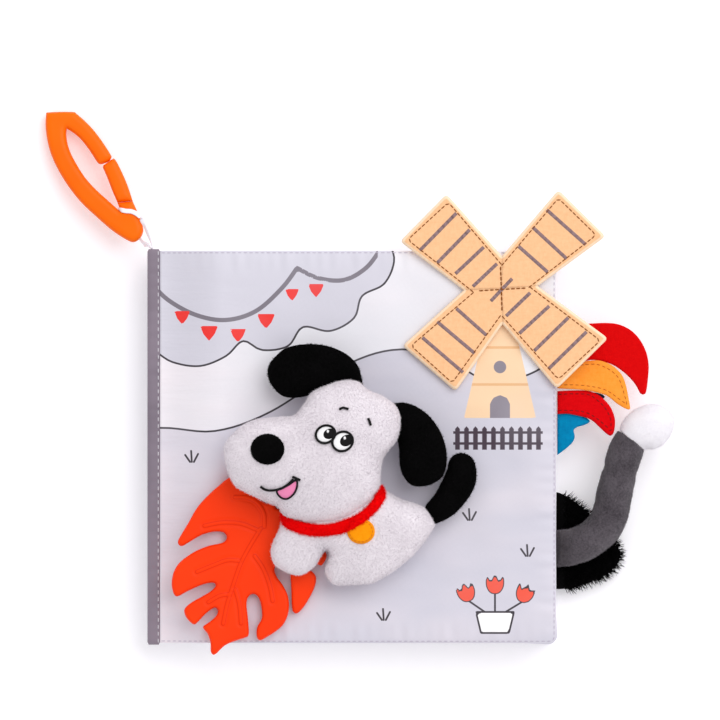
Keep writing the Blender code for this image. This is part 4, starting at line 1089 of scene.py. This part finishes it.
sails = {
    "crop": (395, 185, 6.031), "low": 26.98 * mm, "thickness": 2.1 * mm, "edge": 0.8 * mm, "step": 1.1 * mm,
    "corner": 2.0 * mm, "centre": (62.395 * mm, 65.894 * mm), "bend": (8.6 * mm, 12.4 * mm),
    "hub": (640, 625),
    "blades": {
        "upper_right": {
            "turn": 46.5, "tips": [(985, 30), (1270, 310)], "notches": [(645, 430), (860, 610)],
            "seam": [(650, 478), (985, 80), (1213, 302), (815, 612)],
            "slats": [((915, 150), (1150, 360)), ((830, 255), (1035, 445)), ((745, 370), (920, 525))]},
        "upper_left": {
            "turn": 136.5, "tips": [(30, 340), (310, 55)], "notches": [(415, 635), (645, 430)],
            "seam": [(463, 638), (77, 330), (322, 105), (634, 470)],
            "slats": [((150, 395), (370, 170)), ((255, 470), (450, 270)), ((365, 535), (535, 375)),
                ((470, 612), (615, 475))]},
        "lower_left": {
            "turn": 226.5, "tips": [(365, 1245), (45, 970)], "notches": [(648, 840), (415, 635)],
            "seam": [(630, 796), (345, 1193), (97, 970), (465, 655)],
            "slats": [((370, 745), (550, 905)), ((255, 825), (480, 1015)), ((165, 920), (410, 1130)),
                ((578, 700), (706, 565))]},
        "lower_right": {
            "turn": 316.5, "tips": [(1285, 925), (975, 1230)], "notches": [(860, 610), (648, 840)],
            "seam": [(822, 622), (1238, 938), (985, 1172), (654, 800)],
            "slats": [((670, 790), (815, 650)), ((750, 895), (930, 730)), ((840, 1000), (1045, 800)),
                ((925, 1110), (1155, 885))]}},
    "cross": [((637, 505), (645, 745)), ((520, 637), (775, 622))], "felt": (248, 200, 153),
    "feltShade": (242, 184, 136), "rim": (252, 228, 200), "slat": (158, 132, 134), "slatWidth": 1.75 * mm,
    "slatHigh": 0.11 * mm, "slatShade": (128, 104, 108), "slatSunk": 0.2 * mm, "seamLift": 0.03 * mm,
    "crossLift": 0.05 * mm, "crossSpacing": 1.98 * mm, "crossYarn": 0.6 * mm, "rimReach": 1.3 * mm,
    "thread": (150, 84, 22), "threadShade": (116, 62, 14), "spacing": 2.2 * mm, "stitch": 1.95 * mm,
    "yarn": 0.5 * mm}


def bar(ends, width, low, high, material):
    # a straight printed bar with softened long edges
    a, b = Vector(ends[0]), Vector(ends[1])
    run = (b - a).normalized()
    side = Vector((-run.y, run.x)) * (width / 2)
    verts = [(*(point + side * share), level) for point in (a, b)
             for share, level in ((-1, low), (-0.75, high), (0.75, high), (1, low))]
    return meshPiece("bar", verts, ringFaces(2, 4), material)


def declareCut(outline):
    # the area and the box of a flat cut with this outline are worked out; nothing keeps them
    area = abs(sum(a[0] * b[1] - a[1] * b[0] for a, b in closing(outline))) / 2
    box = [max(max(p[k] for p in outline) - min(p[k] for p in outline), 10.2 * mm) for k in (0, 1)]


def makeSails():
    cloth = felt("sail_felt_cloth", sails["felt"], sails["feltShade"], 0.05, sails["rim"], sails["rimReach"])
    yarn = thread("sail_thread", sails["thread"], sails["threadShade"])
    slatInk = felt("slat_print", sails["slat"], sails["slatShade"])
    top = sails["low"] + sails["thickness"]
    hub = fromCrop(sails["crop"], [sails["hub"]])[0]
    for name, blade in sails["blades"].items():
        (first, second), (before, after) = blade["tips"], blade["notches"]
        free = fromCrop(sails["crop"], [before, first, second, after])
        line = roundedCorners([hub] + free, sails["corner"], (2, 3))
        outline = divided(line, sails["step"], closed=True)
        piece = flatShape("sail_" + name + "_felt", outline, sails["step"], sails, sails["low"], cloth,
                          line[1:])
        painted(piece, "rim", distanceTo(*placesOf(piece)[:, :2].T, line[1:], closed=False))
        seam = roundedCorners(fromCrop(sails["crop"], blade["seam"]), sails["corner"], (1, 2))
        seam = [(*p, top + sails["seamLift"]) for p in divided(seam, sails["step"])]
        trim = [stitches("seam", seam, sails, yarn)]
        for ends in blade["slats"]:
            a, b = fromCrop(sails["crop"], ends)
            knots = [Vector(a).lerp(Vector(b), part / 8) for part in range(9)]
            trim += [bar(pair, sails["slatWidth"], top - sails["slatSunk"], top + sails["slatHigh"], slatInk)
                     for pair in closing(knots, False)]
        details = joined("sail_" + name + "_trim", trim)
        turn = radians(blade["turn"])
        for part in (piece, details):
            ends = [(sails["centre"][0] + cos(turn) * away, sails["centre"][1] + sin(turn) * away, top)
                    for away in sails["bend"]]
            "sail_" + name + "_blade"
            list(ends)
            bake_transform(part)
        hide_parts("sail_" + name, *(["sail_hub"] if name == "upper_left" else []))
        declareCut(line)
    cross = []
    crossLook = {"spacing": sails["crossSpacing"], "stitch": sails["stitch"], "yarn": sails["crossYarn"]}
    for ends in sails["cross"]:
        path = [(*p, top + sails["crossLift"]) for p in divided(fromCrop(sails["crop"], ends), sails["step"])]
        cross.append(stitches("cross", path, crossLook, yarn))
    finished(joined("sail_cross_stitches", cross), "front_cover", "sail_felt")


makeSails()
print("sails done")

# Felt feathers of the rooster's tail, in three layers

feathers = {
    "crop": (550, 315, 10.453), "low": 16.22 * mm, "pitch": 1.5 * mm, "thickness": 1.15 * mm,
    "seamLift": 0.02 * mm, "edge": 0.5 * mm, "step": 0.9 * mm, "spacing": 2.3 * mm, "stitch": 1.7 * mm,
    "yarn": 0.38 * mm,
    "parts": {
        "red": {
            "node": "rooster_red_feather", "slot": "red_felt", "layer": 1, "colour": (222, 6, 8),
            "shade": (204, 0, 4), "thread": (186, 0, 0),
            "outline": [(78, 118), (250, 100), (430, 88), (600, 82), (730, 100), (850, 160), (945, 260),
                (1010, 390), (1035, 520), (1030, 640), (1015, 770), (1000, 823), (975, 835), (945, 820),
                (900, 735), (820, 640), (700, 545), (600, 500), (450, 470), (300, 500), (78, 560)]},
        "orange": {
            "node": "rooster_orange_feather", "slot": "orange_felt", "layer": 2, "colour": (255, 164, 66),
            "shade": (252, 146, 44), "thread": (206, 112, 26),
            "outline": [(78, 560), (250, 500), (430, 476), (530, 478), (640, 520), (720, 585), (765, 645),
                (798, 740), (822, 860), (842, 975), (832, 990), (780, 975), (700, 925), (610, 852),
                (560, 830), (450, 800), (300, 780), (150, 772), (78, 768)],
            "seam": [(108, 592), (250, 538), (430, 514), (530, 526), (640, 582), (712, 650), (752, 740),
                (785, 850), (808, 935), (740, 890), (650, 822), (560, 775), (450, 750), (300, 732),
                (108, 730)]},
        "lower_red": {
            "node": "rooster_lower_red_feather", "slot": "red_felt", "layer": 1, "colour": (226, 4, 14),
            "shade": (204, 0, 8), "thread": (136, 0, 8),
            "outline": [(78, 796), (250, 788), (400, 792), (500, 830), (570, 885), (640, 970), (680, 1080),
                (680, 1180), (662, 1245), (640, 1264), (600, 1248), (520, 1175), (450, 1110), (370, 1070),
                (260, 1045), (180, 1032), (78, 1036)],
            "seam": [(108, 829), (250, 824), (400, 832), (480, 878), (560, 950), (618, 1040), (640, 1120),
                (636, 1205), (575, 1150), (500, 1088), (400, 1028), (280, 1002), (108, 996)]},
        "navy": {
            "node": "rooster_navy_feather", "slot": "navy_felt", "layer": 0, "colour": (34, 52, 84),
            "shade": (24, 40, 70), "thread": (20, 30, 60),
            "outline": [(78, 820), (300, 806), (480, 812), (560, 835), (578, 856), (560, 878), (480, 888),
                (300, 900), (78, 905)]},
        "teal": {
            "node": "rooster_teal_feather", "slot": "teal_felt", "layer": 0, "colour": (0, 140, 190),
            "shade": (0, 118, 168), "thread": (0, 100, 150),
            "outline": [(78, 1000), (220, 1000), (340, 1050), (420, 1108), (370, 1148), (290, 1172),
                (250, 1205), (262, 1270), (240, 1330), (180, 1390), (120, 1436), (78, 1466)]}}}


def makeFeathers():
    for name, part in feathers["parts"].items():
        ends = (0, len(part["outline"]) - 1)
        outline = smoothLoop(fromCrop(feathers["crop"], part["outline"]), feathers["step"], sharp=ends)
        cloth = felt(name + "_feather_felt", part["colour"], part["shade"])
        low = feathers["low"] + feathers["pitch"] * part["layer"]
        piece = flatShape(name + "_feather", outline, feathers["step"], feathers, low, cloth)
        finished(piece, "rooster_tail", part["slot"], part["node"])
        if "seam" in part:
            yarn = thread(name + "_feather_thread", part["thread"], [c * 0.8 for c in part["thread"]])
            seam = smoothLoop(fromCrop(feathers["crop"], part["seam"]), feathers["step"], False, (8, 7))
            path = [(*p, low + feathers["thickness"] + feathers["seamLift"]) for p in seam]
            row = stitches(name + "_feather_stitches", path, feathers, yarn)
            finished(row, "rooster_tail", part["slot"])
        declareCut(outline)


makeFeathers()
print("feathers done")

# Stuffed cat tail and furry tail; a row holds x, y, z, half width and half height as shares of the span

tails = {
    "cat": {
        "root": (85.8 * mm, -42.798 * mm, 13.3 * mm), "span": 60 * mm, "lumps": 0.07 * mm,
        "tipLumps": 0.05 * mm,
        "nap": {"density": 7.0e6, "length": 0.55 * mm, "thickness": 0.12 * mm, "lean": 0.8},
        "grey": (106, 99, 106), "greyDark": (38, 31, 38), "white": (250, 247, 251),
        "whiteDark": (238, 234, 241),
        "rows": [(0.0, 0.0, 0.0, 0.128, 0.018), (0.042, 0.003, 0.015, 0.128, 0.060),
            (0.118, 0.016, 0.035, 0.126, 0.100), (0.224, 0.058, 0.045, 0.125, 0.114),
            (0.330, 0.150, 0.045, 0.126, 0.115), (0.381, 0.262, 0.045, 0.124, 0.115),
            (0.404, 0.372, 0.045, 0.123, 0.115), (0.429, 0.483, 0.045, 0.120, 0.115),
            (0.448, 0.555, 0.045, 0.113, 0.107), (0.468, 0.630, 0.045, 0.120, 0.115),
            (0.500, 0.722, 0.045, 0.116, 0.110), (0.524, 0.765, 0.045, 0.108, 0.100)],
        "tip": [(0.520, 0.760, 0.045, 0.104, 0.094), (0.574, 0.812, 0.045, 0.140, 0.120),
            (0.644, 0.850, 0.045, 0.154, 0.130), (0.714, 0.875, 0.045, 0.143, 0.120),
            (0.770, 0.889, 0.045, 0.105, 0.090), (0.808, 0.896, 0.045, 0.055, 0.045),
            (0.824, 0.898, 0.045, 0.015, 0.015)]},
    "furry": {
        "root": (85.8 * mm, -39.503 * mm, 8.3 * mm), "span": 30 * mm, "floor": 0.2 * mm, "bare": 3.2 * mm,
        "fur": {
            "density": 2.2e6, "length": 3.6 * mm, "thickness": 0.45 * mm, "lean": 0.7, "comb": (0.5, 0, 0)},
        "black": (8, 7, 8), "blackDark": (2, 2, 2),
        "rows": [(0.0, 0.0, 0.0, 0.680, 0.030), (0.070, -0.010, -0.030, 0.670, 0.065),
            (0.240, -0.050, -0.085, 0.610, 0.080), (0.450, -0.100, -0.095, 0.490, 0.095),
            (0.630, -0.145, -0.095, 0.370, 0.095), (0.770, -0.190, -0.095, 0.230, 0.080),
            (0.850, -0.220, -0.095, 0.120, 0.050), (0.885, -0.230, -0.095, 0.040, 0.020)]}}


def sweptForm(name, part, rows, sides, material, across=None, lumps=0.0):
    # ellipses along a smooth path through the rows
    knots = [np.array([value * part["span"] for value in row]) for row in rows]
    path = []
    for before, here, after, beyond in zip(knots[:1] + knots, knots, knots[1:], knots[2:] + knots[-1:]):
        path += between(before, here, after, beyond, 6)
    path = [Vector(row) for row in (*path, knots[-1])]
    root = part["root"]
    phase = np.random.default_rng(7).uniform(0, 6, 4)
    verts = []
    for index, (row, heading) in enumerate(zip(path, headings([row[:2] for row in path]))):
        side = Vector(across) if across else Vector((-heading.y, heading.x))
        for turn in range(sides):
            angle = 2 * pi * turn / sides
            lump = lumps * (sin(index * 0.37 + phase[0]) * sin(angle * 3 + phase[1])
                            + sin(index * 0.9 + angle * 2))
            reach = (row[3] + lump) * cos(angle)
            verts.append((root[0] + row[0] + side.x * reach, root[1] + row[1] + side.y * reach,
                          root[2] + row[2] + (row[4] + lump) * sin(angle)))
    return meshPiece(name, verts, ringFaces(len(path), sides), material)


def makeTails():
    cat = tails["cat"]
    grey = plush("grey_plush_pile", cat["grey"], cat["greyDark"], 1100, 0.6)
    white = plush("tip_plush_pile", cat["white"], cat["whiteDark"], 1500, 0.35)
    body = sweptForm("cat_tail_body", cat, cat["rows"], 40, grey, lumps=cat["lumps"])
    tip = sweptForm("cat_tail_end", cat, cat["tip"], 40, white, lumps=cat["tipLumps"])
    for piece, slotName, material, node, seed in ((body, "grey_plush", grey, "cat_tail", 3),
                                                  (tip, "tip_plush", white, "cat_tail_tip", 4)):
        nap = pile(piece.name + "_nap", piece, material, **cat["nap"], seed=seed)
        finished(nap, "cat_tail_stuffed", slotName)
        finished(piece, "cat_tail_stuffed", slotName, node)
    furry = tails["furry"]
    black = plush("black_fur_pile", furry["black"], furry["blackDark"], 900, 0.5, 0.0)
    base = sweptForm("furry_tail_body", furry, furry["rows"], 48, black, across=(0, 1))
    painted(base, "bare", placesOf(base)[:, 0] < furry["root"][0] + furry["bare"])
    fur = pile("furry_tail_strands", base, black, **furry["fur"], seed=5)
    spots = placesOf(fur)
    spots[:, 2] = np.maximum(spots[:, 2], furry["floor"])
    fur.data.vertices.foreach_set("co", spots.reshape(-1))
    finished(fur, "furry_tail_flap", "black_fur")
    finished(base, "furry_tail_flap", "black_fur", "furry_tail")


makeTails()
print("tails done")

# The leaf teether, moulded with raised veins, and the ribbon that ties its eye

teether = {
    "crop": (165, 470, 8.04), "low": 26.9 * mm, "thickness": 4.35 * mm, "edge": 1.3 * mm, "step": 0.6 * mm,
    # line is a painted shade colour, laid beside each vein where the ridge dips into its groove
    "colour": (250, 62, 4), "shade": (245, 50, 0), "line": (206, 30, 6), "eye": (821, 219),
    "eyeRadius": 2.3 * mm,
    "outline": [(520, 60), (440, 120), (350, 200), (260, 300), (190, 420), (130, 520), (104, 572),
        (114, 604), (142, 610), (200, 577), (300, 520), (400, 495), (465, 500), (495, 530), (488, 565),
        (450, 588), (350, 610), (250, 650), (170, 700), (110, 752), (70, 820), (54, 900), (60, 962),
        (78, 1006), (108, 1014), (190, 970), (300, 922), (380, 905), (408, 925), (380, 965), (310, 1010),
        (220, 1060), (165, 1105), (155, 1140), (175, 1190), (228, 1240), (262, 1224), (330, 1152),
        (398, 1106), (425, 1130), (412, 1172), (360, 1220), (306, 1262), (342, 1315), (365, 1385),
        (368, 1458), (386, 1484), (412, 1476), (480, 1412), (560, 1375), (650, 1345), (674, 1318),
        (668, 1200), (656, 1080), (670, 1020), (710, 996), (750, 1022), (775, 1100), (778, 1190),
        (742, 1262), (738, 1340), (762, 1368), (800, 1354), (900, 1290), (960, 1228), (995, 1130),
        (990, 1020), (950, 930), (900, 860), (880, 800), (905, 762), (955, 765), (998, 800), (1012, 900),
        (1022, 1100), (1034, 1142), (1062, 1152), (1110, 1108), (1160, 1030), (1200, 950), (1216, 880),
        (1204, 838), (1165, 800), (1152, 776), (1180, 756), (1225, 758), (1262, 765), (1298, 700),
        (1287, 640), (1250, 486), (1112, 355), (986, 333), (890, 300), (915, 250), (912, 190), (869, 135),
        (810, 120), (760, 150), (752, 60), (635, 30)],
    "veins": [[(772, 468), (690, 600), (610, 750), (550, 920), (500, 1080), (468, 1235)], [(745, 482),
        (610, 430), (460, 422), (318, 448)], [(592, 728), (500, 725), (400, 760), (258, 818)], [(520, 1000),
        (440, 1010), (350, 1062)], [(722, 690), (790, 790), (840, 920), (866, 1052)], [(566, 960),
        (598, 1080), (612, 1232)], [(562, 218), (660, 222), (740, 262), (796, 350), (800, 455)]],
    "ridge": 0.3 * mm, "ridgeWidth": 0.7 * mm, "grooveAt": 1.19 * mm, "grooveWidth": 0.42 * mm,
    "sink": 0.1 * mm, "groove": 0.3 * mm, "lineAt": 0.75 * mm, "lineWidth": 0.3 * mm, "lineShare": 0.6,
    "tieTurn": 40, "tieLift": 0.35 * mm, "tieColour": (232, 226, 234), "tieShade": (206, 200, 210),
    "tieReach": 6.0 * mm, "tieWidth": 4.0 * mm, "tieThick": 0.5 * mm}


def makeTeether():
    outline = smoothLoop(fromCrop(teether["crop"], teether["outline"]), teether["step"])
    eye = fromCrop(teether["crop"], [teether["eye"]])[0]
    hole = [(eye[0] + teether["eyeRadius"] * cos(a), eye[1] + teether["eyeRadius"] * sin(a))
            for a in np.linspace(0, 2 * pi, 25)[:-1]]
    veins = [smoothLoop(fromCrop(teether["crop"], vein), 1 * mm, closed=False) for vein in teether["veins"]]
    wide, low, thickness = teether["ridgeWidth"], teether["low"], teether["thickness"]

    def relief(xs, ys):
        # a ridge along each vein with a groove at its sides
        raised = np.zeros(len(xs))
        for vein in veins:
            away = distanceTo(xs, ys, vein, closed=False)
            side = np.exp(-((away - teether["grooveAt"]) / teether["grooveWidth"]) ** 2)
            found = teether["ridge"] * np.exp(-(away / wide) ** 2) - teether["groove"] * side
            raised = np.where(np.abs(found) > np.abs(raised), found, raised)
        return raised - teether["sink"]

    rubber = moulded("teether_rubber", teether, 0.42)
    leaf = flatShape("teether_leaf", outline, teether["step"], teether, low, rubber,
                     relief=relief, holes=[hole])
    xs, ys, zs = placesOf(leaf).T
    away = np.min([distanceTo(xs, ys, vein, closed=False) for vein in veins], axis=0)
    # each top vertex's distance to the nearest vein places that painted groove shade
    painted(leaf, "vein", np.where(zs > low + thickness / 2, away, 1))
    finished(leaf, "teether", "teether_silicone", "leaf_teether")

    turn = radians(teether["tieTurn"])
    run = Vector((cos(turn), sin(turn), 0))
    side = Vector((-run.y, run.x, 0)) * teether["tieWidth"]
    reach, high = teether["tieReach"], low + thickness + teether["tieLift"]
    levels = [(0, low), (0, high - 0.8 * mm), (0.5 * mm, high), (2.5 * mm, high + 0.1 * mm),
              (reach - 0.6 * mm, high), (reach, high - 0.9 * mm), (reach + 0.1 * mm, low)]
    path = [Vector((*eye, 0)) + run * along + Vector((0, 0, level)) for along, level in levels]
    cloth = satin("tie_satin", teether["tieColour"], teether["tieShade"], 0.5)
    tie = flatStrap("teether_tie_ribbon", path, [side] * len(path), teether["tieThick"], cloth)
    finished(tie, "front_cover", "ribbon", "teether_tie")


makeTeether()
print("teether done")

# The dog: stuffed velour forms with sewn outlines, an embroidered face, a fleece collar and a tag

dog = {
    "crop": (160, 330, 4.752), "step": 1.25 * mm, "lump": 0.22 * mm,
    "head": {
        "middle": 43.2 * mm, "rise": 12.6 * mm, "fall": 10.4 * mm,
        "outline": [(305, 560), (310, 620), (325, 680), (345, 720), (370, 750), (440, 785), (500, 815),
            (560, 840), (585, 875), (640, 905), (720, 925), (800, 925), (880, 905), (950, 870), (1000, 820),
            (1040, 750), (1045, 700), (1050, 650), (1060, 610), (1085, 570), (1120, 530), (1135, 490),
            (1142, 440), (1138, 400), (1120, 360), (1090, 335), (1050, 310), (1000, 290), (970, 270),
            (950, 250), (920, 240), (870, 240), (830, 250), (790, 265), (740, 285), (710, 310), (690, 345),
            (660, 385), (630, 408), (580, 412), (500, 418), (440, 430), (390, 455), (350, 490), (320, 525)]},
    "body": {
        "middle": 38.2 * mm, "rise": 9.4 * mm, "fall": 7.6 * mm,
        "outline": [(575, 890), (570, 940), (545, 990), (528, 1040), (532, 1085), (550, 1120), (590, 1145),
            (640, 1163), (680, 1160), (720, 1135), (745, 1110), (770, 1065), (790, 1045), (803, 1055),
            (800, 1090), (785, 1130), (790, 1165), (815, 1200), (850, 1212), (940, 1208), (1010, 1200),
            (1080, 1165), (1150, 1115), (1210, 1060), (1260, 1000), (1300, 940), (1302, 915), (1270, 860),
            (1240, 834), (1200, 820), (1150, 805), (1100, 780), (1060, 750), (1020, 700), (900, 690),
            (760, 730), (640, 780), (590, 830)]},
    "leftEar": {
        "body": "dog_left_ear_flap", "node": "dog_left_ear", "middle": 38.0 * mm, "rise": 4.9 * mm,
        "fall": 4.9 * mm,
        "outline": [(512, 200), (520, 240), (545, 280), (580, 312), (630, 322), (690, 315), (740, 300),
            (790, 292), (860, 285), (930, 280), (965, 290), (955, 215), (940, 170), (900, 125), (850, 95),
            (790, 75), (720, 67), (650, 72), (590, 90), (545, 130), (520, 165)]},
    "rightEar": {
        "body": "dog_right_ear_flap", "node": "dog_right_ear", "middle": 38.6 * mm, "rise": 4.7 * mm,
        "fall": 4.9 * mm,
        "outline": [(1080, 345), (1120, 347), (1160, 345), (1220, 365), (1280, 410), (1330, 480),
            (1355, 550), (1362, 620), (1350, 680), (1320, 715), (1270, 738), (1215, 742), (1180, 725),
            (1155, 690), (1140, 640), (1136, 560), (1125, 510), (1108, 440), (1090, 380)]},
    "tail": {
        "body": "dog_tail_flap", "node": "dog_tail", "middle": 34.9 * mm, "rise": 4.9 * mm,
        "fall": 4.6 * mm,
        "outline": [(1262, 838), (1300, 790), (1340, 720), (1365, 660), (1375, 620), (1400, 592),
            (1440, 585), (1480, 605), (1500, 650), (1502, 710), (1482, 770), (1440, 830), (1390, 880),
            (1330, 912), (1300, 918), (1280, 890)]},
    "white": (240, 233, 239), "whiteDark": (219, 211, 218), "black": (9, 8, 9), "blackDark": (2, 2, 2),
    "nap": {"density": 5.2e6, "length": 0.8 * mm, "thickness": 0.16 * mm, "lean": 0.9},
    "nose": {
        "centre": (512, 565), "radii": (80, 73), "dome": 1.5 * mm, "step": 0.8 * mm,
        "nap": {"density": 5.0e6, "length": 0.5 * mm, "thickness": 0.15 * mm, "lean": 0.7}},
    "eyes": [{"centre": (787, 494), "radii": (47, 41), "turn": -24,
        "pupil": (806, 492), "pupilRadii": (24, 30)},
        {"centre": (868, 528), "radii": (50, 45), "turn": -32, "pupil": (886, 524), "pupilRadii": (26, 32)}],
    "brows": [[(853, 377), (870, 368), (896, 376)], [(989, 418), (996, 434), (1002, 453)]],
    "smile": [[(478, 742), (500, 757), (532, 761), (572, 753), (605, 735), (634, 708)], [(630, 695),
        (668, 712)]],
    "tongue": [(556, 762), (578, 752), (612, 734), (648, 712), (652, 742), (638, 775), (612, 798),
        (588, 800), (566, 786)], "ink": (8, 6, 8), "inkShade": (6, 4, 6), "rimLift": 0.5 * mm,
    "lineLift": 0.45 * mm, "seamGap": 0.002 * mm, "bareEdge": 0.2 * mm, "glintAway": (-8, -12),
    "glintRadii": (6, 8), "collarStep": 0.9 * mm,
    "layers": {
        "ball": (0.35 * mm, 0.3 * mm), "pupil": (0.62 * mm, 0.25 * mm), "glint": (0.85 * mm, 0.15 * mm),
        "tongue": (0.35 * mm, 0.3 * mm), "nose": (0, 0.9 * mm), "collar": (0.3 * mm, 1.3 * mm),
        "tag": (0.35 * mm, 1.1 * mm)},
    "eyeWhite": (250, 249, 250), "eyeShade": (234, 232, 236), "pink": (246, 150, 192),
    "pinkShade": (228, 120, 168), "line": 0.52 * mm,
    "collarOutline": [(578, 868), (640, 898), (720, 920), (800, 922), (880, 900), (950, 866), (1005, 815),
        (1048, 738), (1070, 770), (1068, 800), (1030, 855), (970, 910), (890, 955), (800, 975), (720, 975),
        (640, 955), (582, 922)],
    "fuzz": {"density": 6.0e6, "length": 1.1 * mm, "thickness": 0.2 * mm, "lean": 0.9},
    "collar": (250, 6, 8), "collarDark": (230, 0, 4),
    "tag": {
        "centre": (955, 955), "radii": (66, 60), "colour": (248, 158, 14),
        "shade": (238, 138, 0), "thread": (226, 122, 0), "threadShade": (200, 96, 0), "step": 0.8 * mm,
        "ring": 0.84, "ringLift": 1.5 * mm, "spacing": 1.7 * mm, "stitch": 1.3 * mm, "yarn": 0.34 * mm}}


def dogLine(points, closed=True, step=1.0 * mm):
    return smoothLoop(fromCrop(dog["crop"], points), step, closed=closed)


def ovalLine(centre, radii, turn=0.0, count=28):
    points = []
    turn = radians(turn)
    for k in range(count):
        x, y = radii[0] * cos(2 * pi * k / count), radii[1] * sin(2 * pi * k / count)
        points.append((centre[0] + x * cos(turn) - y * sin(turn), centre[1] + x * sin(turn) + y * cos(turn)))
    return fromCrop(dog["crop"], points)


def dogPiece(name, part, material, slotName, body, replaced, seed, bare=()):
    # a sewn pillow, two cloths that meet at the outline, never quite even; bare outlines get no strands
    flat, faces = filledOutline(dogLine(part["outline"]), dog["step"])
    swell = inflated(flat, faces, relaxing["stuffed"])
    piece = sandwich(name, flat, faces, part["middle"] + part["rise"] * swell + dog["seamGap"],
                     part["middle"] - part["fall"] * swell - dog["seamGap"], material)
    spots = placesOf(piece)
    xs, ys, zs = spots.T
    spots[:, 2] += np.sign(zs - zs.mean()) * dog["lump"] * waves(xs, ys, seed)
    piece.data.vertices.foreach_set("co", spots.reshape(-1))
    piece.data.update()
    if bare:
        near = shapeDistance(xs, ys, *bare) < dog["bareEdge"]
        painted(piece, "bare", near & (spots[:, 2] > part["middle"]))
    coat = pile(name + "_nap", piece, material, **dog["nap"], seed=seed)
    finished(piece, body, slotName, *replaced)
    finished(coat, body, slotName)
    return piece


def threadAlong(points, surface, lift, material, radius, closed=False):
    # a round thread laid on the surface
    sides = 6
    path = drapedLine(divided(points, 0.5 * mm, closed), surface, lift + radius * 0.7)
    path = path + path[:1] if closed else path
    verts = []
    for here, heading in zip(path, headings(path)):
        side = heading.cross(Vector((0, 0, 1)))
        side = side.normalized() if side.length > 1e-6 else Vector((1, 0, 0))
        up = side.cross(heading).normalized()
        for turn in range(sides):
            angle = 2 * pi * turn / sides
            verts.append(Vector(here) + side * (radius * cos(angle)) + up * (radius * sin(angle)))
    return meshPiece("thread", verts, ringFaces(len(path), sides), material)


def makeFace(head, eyeLines, tongueLine):
    face = surfaceOf(head)
    dark = thread("face_thread", dog["ink"], dog["inkShade"])
    pale = thread("eye_thread", dog["eyeWhite"], dog["eyeShade"])
    rosy = thread("tongue_thread", dog["pink"], dog["pinkShade"])
    line, raised, layers = dog["line"], dog["lineLift"], dog["layers"]
    stitched = []
    for eye, eyeLine in zip(dog["eyes"], eyeLines):
        stitched.append(patch("eye_ball", eyeLine, face, *layers["ball"], pale))
        stitched.append(threadAlong(eyeLine, face, dog["rimLift"], dark, line, True))
        pupil = ovalLine(eye["pupil"], eye["pupilRadii"], eye["turn"] + 90)
        stitched.append(patch("eye_pupil", pupil, face, *layers["pupil"], dark))
        spot = [c + away for c, away in zip(eye["pupil"], dog["glintAway"])]
        glint = ovalLine(spot, dog["glintRadii"], count=10)
        stitched.append(patch("eye_glint", glint, face, *layers["glint"], pale))
    stitched.append(patch("tongue_fill", tongueLine, face, *layers["tongue"], rosy))
    stitched.append(threadAlong(tongueLine, face, raised, dark, line * 0.8, True))
    stitched += [threadAlong(dogLine(points, False), face, raised, dark, line)
                 for points in dog["smile"] + dog["brows"]]
    finished(joined("dog_face_embroidery", stitched), "front_cover", "black_plush")


def makeDog():
    white = plush("white_velour", dog["white"], dog["whiteDark"], 1300, 0.35)
    black = plush("black_velour", dog["black"], dog["blackDark"], 1300, 0.4, 0.0)
    layers = dog["layers"]
    noseLine = ovalLine(dog["nose"]["centre"], dog["nose"]["radii"])
    eyeLines = [ovalLine(eye["centre"], eye["radii"], eye["turn"]) for eye in dog["eyes"]]
    tongueLine = dogLine(dog["tongue"], step=0.5 * mm)
    head = dogPiece("dog_head_form", dog["head"], white, "white_plush", "front_cover", ("dog_head",), 11,
                    [noseLine, *eyeLines, tongueLine])
    collarLine = dogLine(dog["collarOutline"], step=0.8 * mm)
    tag = dog["tag"]
    tagLine = ovalLine(tag["centre"], tag["radii"])
    body = dogPiece("dog_body_form", dog["body"], white, "white_plush", "front_cover",
                    ("dog_body", "dog_front_leg", "dog_hind_leg", "dog_squeaker"), 12, [collarLine, tagLine])
    for seed, key in enumerate(("leftEar", "rightEar", "tail")):
        part = dog[key]
        dogPiece(part["node"] + "_form", part, black, "black_plush", part["body"], (part["node"],), 21 + seed)
    nose = patch("dog_nose_pad", noseLine, surfaceOf(head), *layers["nose"], black, dog["nose"]["step"],
                 dog["nose"]["dome"])
    noseNap = pile("dog_nose_nap", nose, black, **dog["nose"]["nap"], seed=31)
    finished(nose, "front_cover", "black_plush", "dog_nose")
    finished(noseNap, "front_cover", "black_plush")
    makeFace(head, eyeLines, tongueLine)

    neck = surfaceOf(body)
    tagFelt = felt("tag_felt", tag["colour"], tag["shade"])
    disc = patch("dog_tag_disc", tagLine, neck, *layers["tag"], tagFelt, tag["step"])
    red = plush("collar_fleece_pile", dog["collar"], dog["collarDark"], 1100, 0.5, 0.0)
    collar = patch("dog_collar_band", collarLine, surfaceOf(body, disc), *layers["collar"], red,
                   dog["collarStep"])
    fuzz = pile("dog_collar_fuzz", collar, red, **dog["fuzz"], seed=41)
    finished(collar, "front_cover", "collar_fleece", "dog_collar")
    finished(fuzz, "front_cover", "collar_fleece")
    finished(disc, "front_cover", "tag_cloth", "dog_collar_tag")
    ring = ovalLine(tag["centre"], [r * tag["ring"] for r in tag["radii"]], count=40)
    yarn = thread("tag_thread", tag["thread"], tag["threadShade"])
    path = drapedLine(ring, neck, tag["ringLift"])
    finished(stitches("dog_tag_stitches", path, tag, yarn, closed=True), "front_cover", "tag_cloth")


makeDog()
print("dog done")
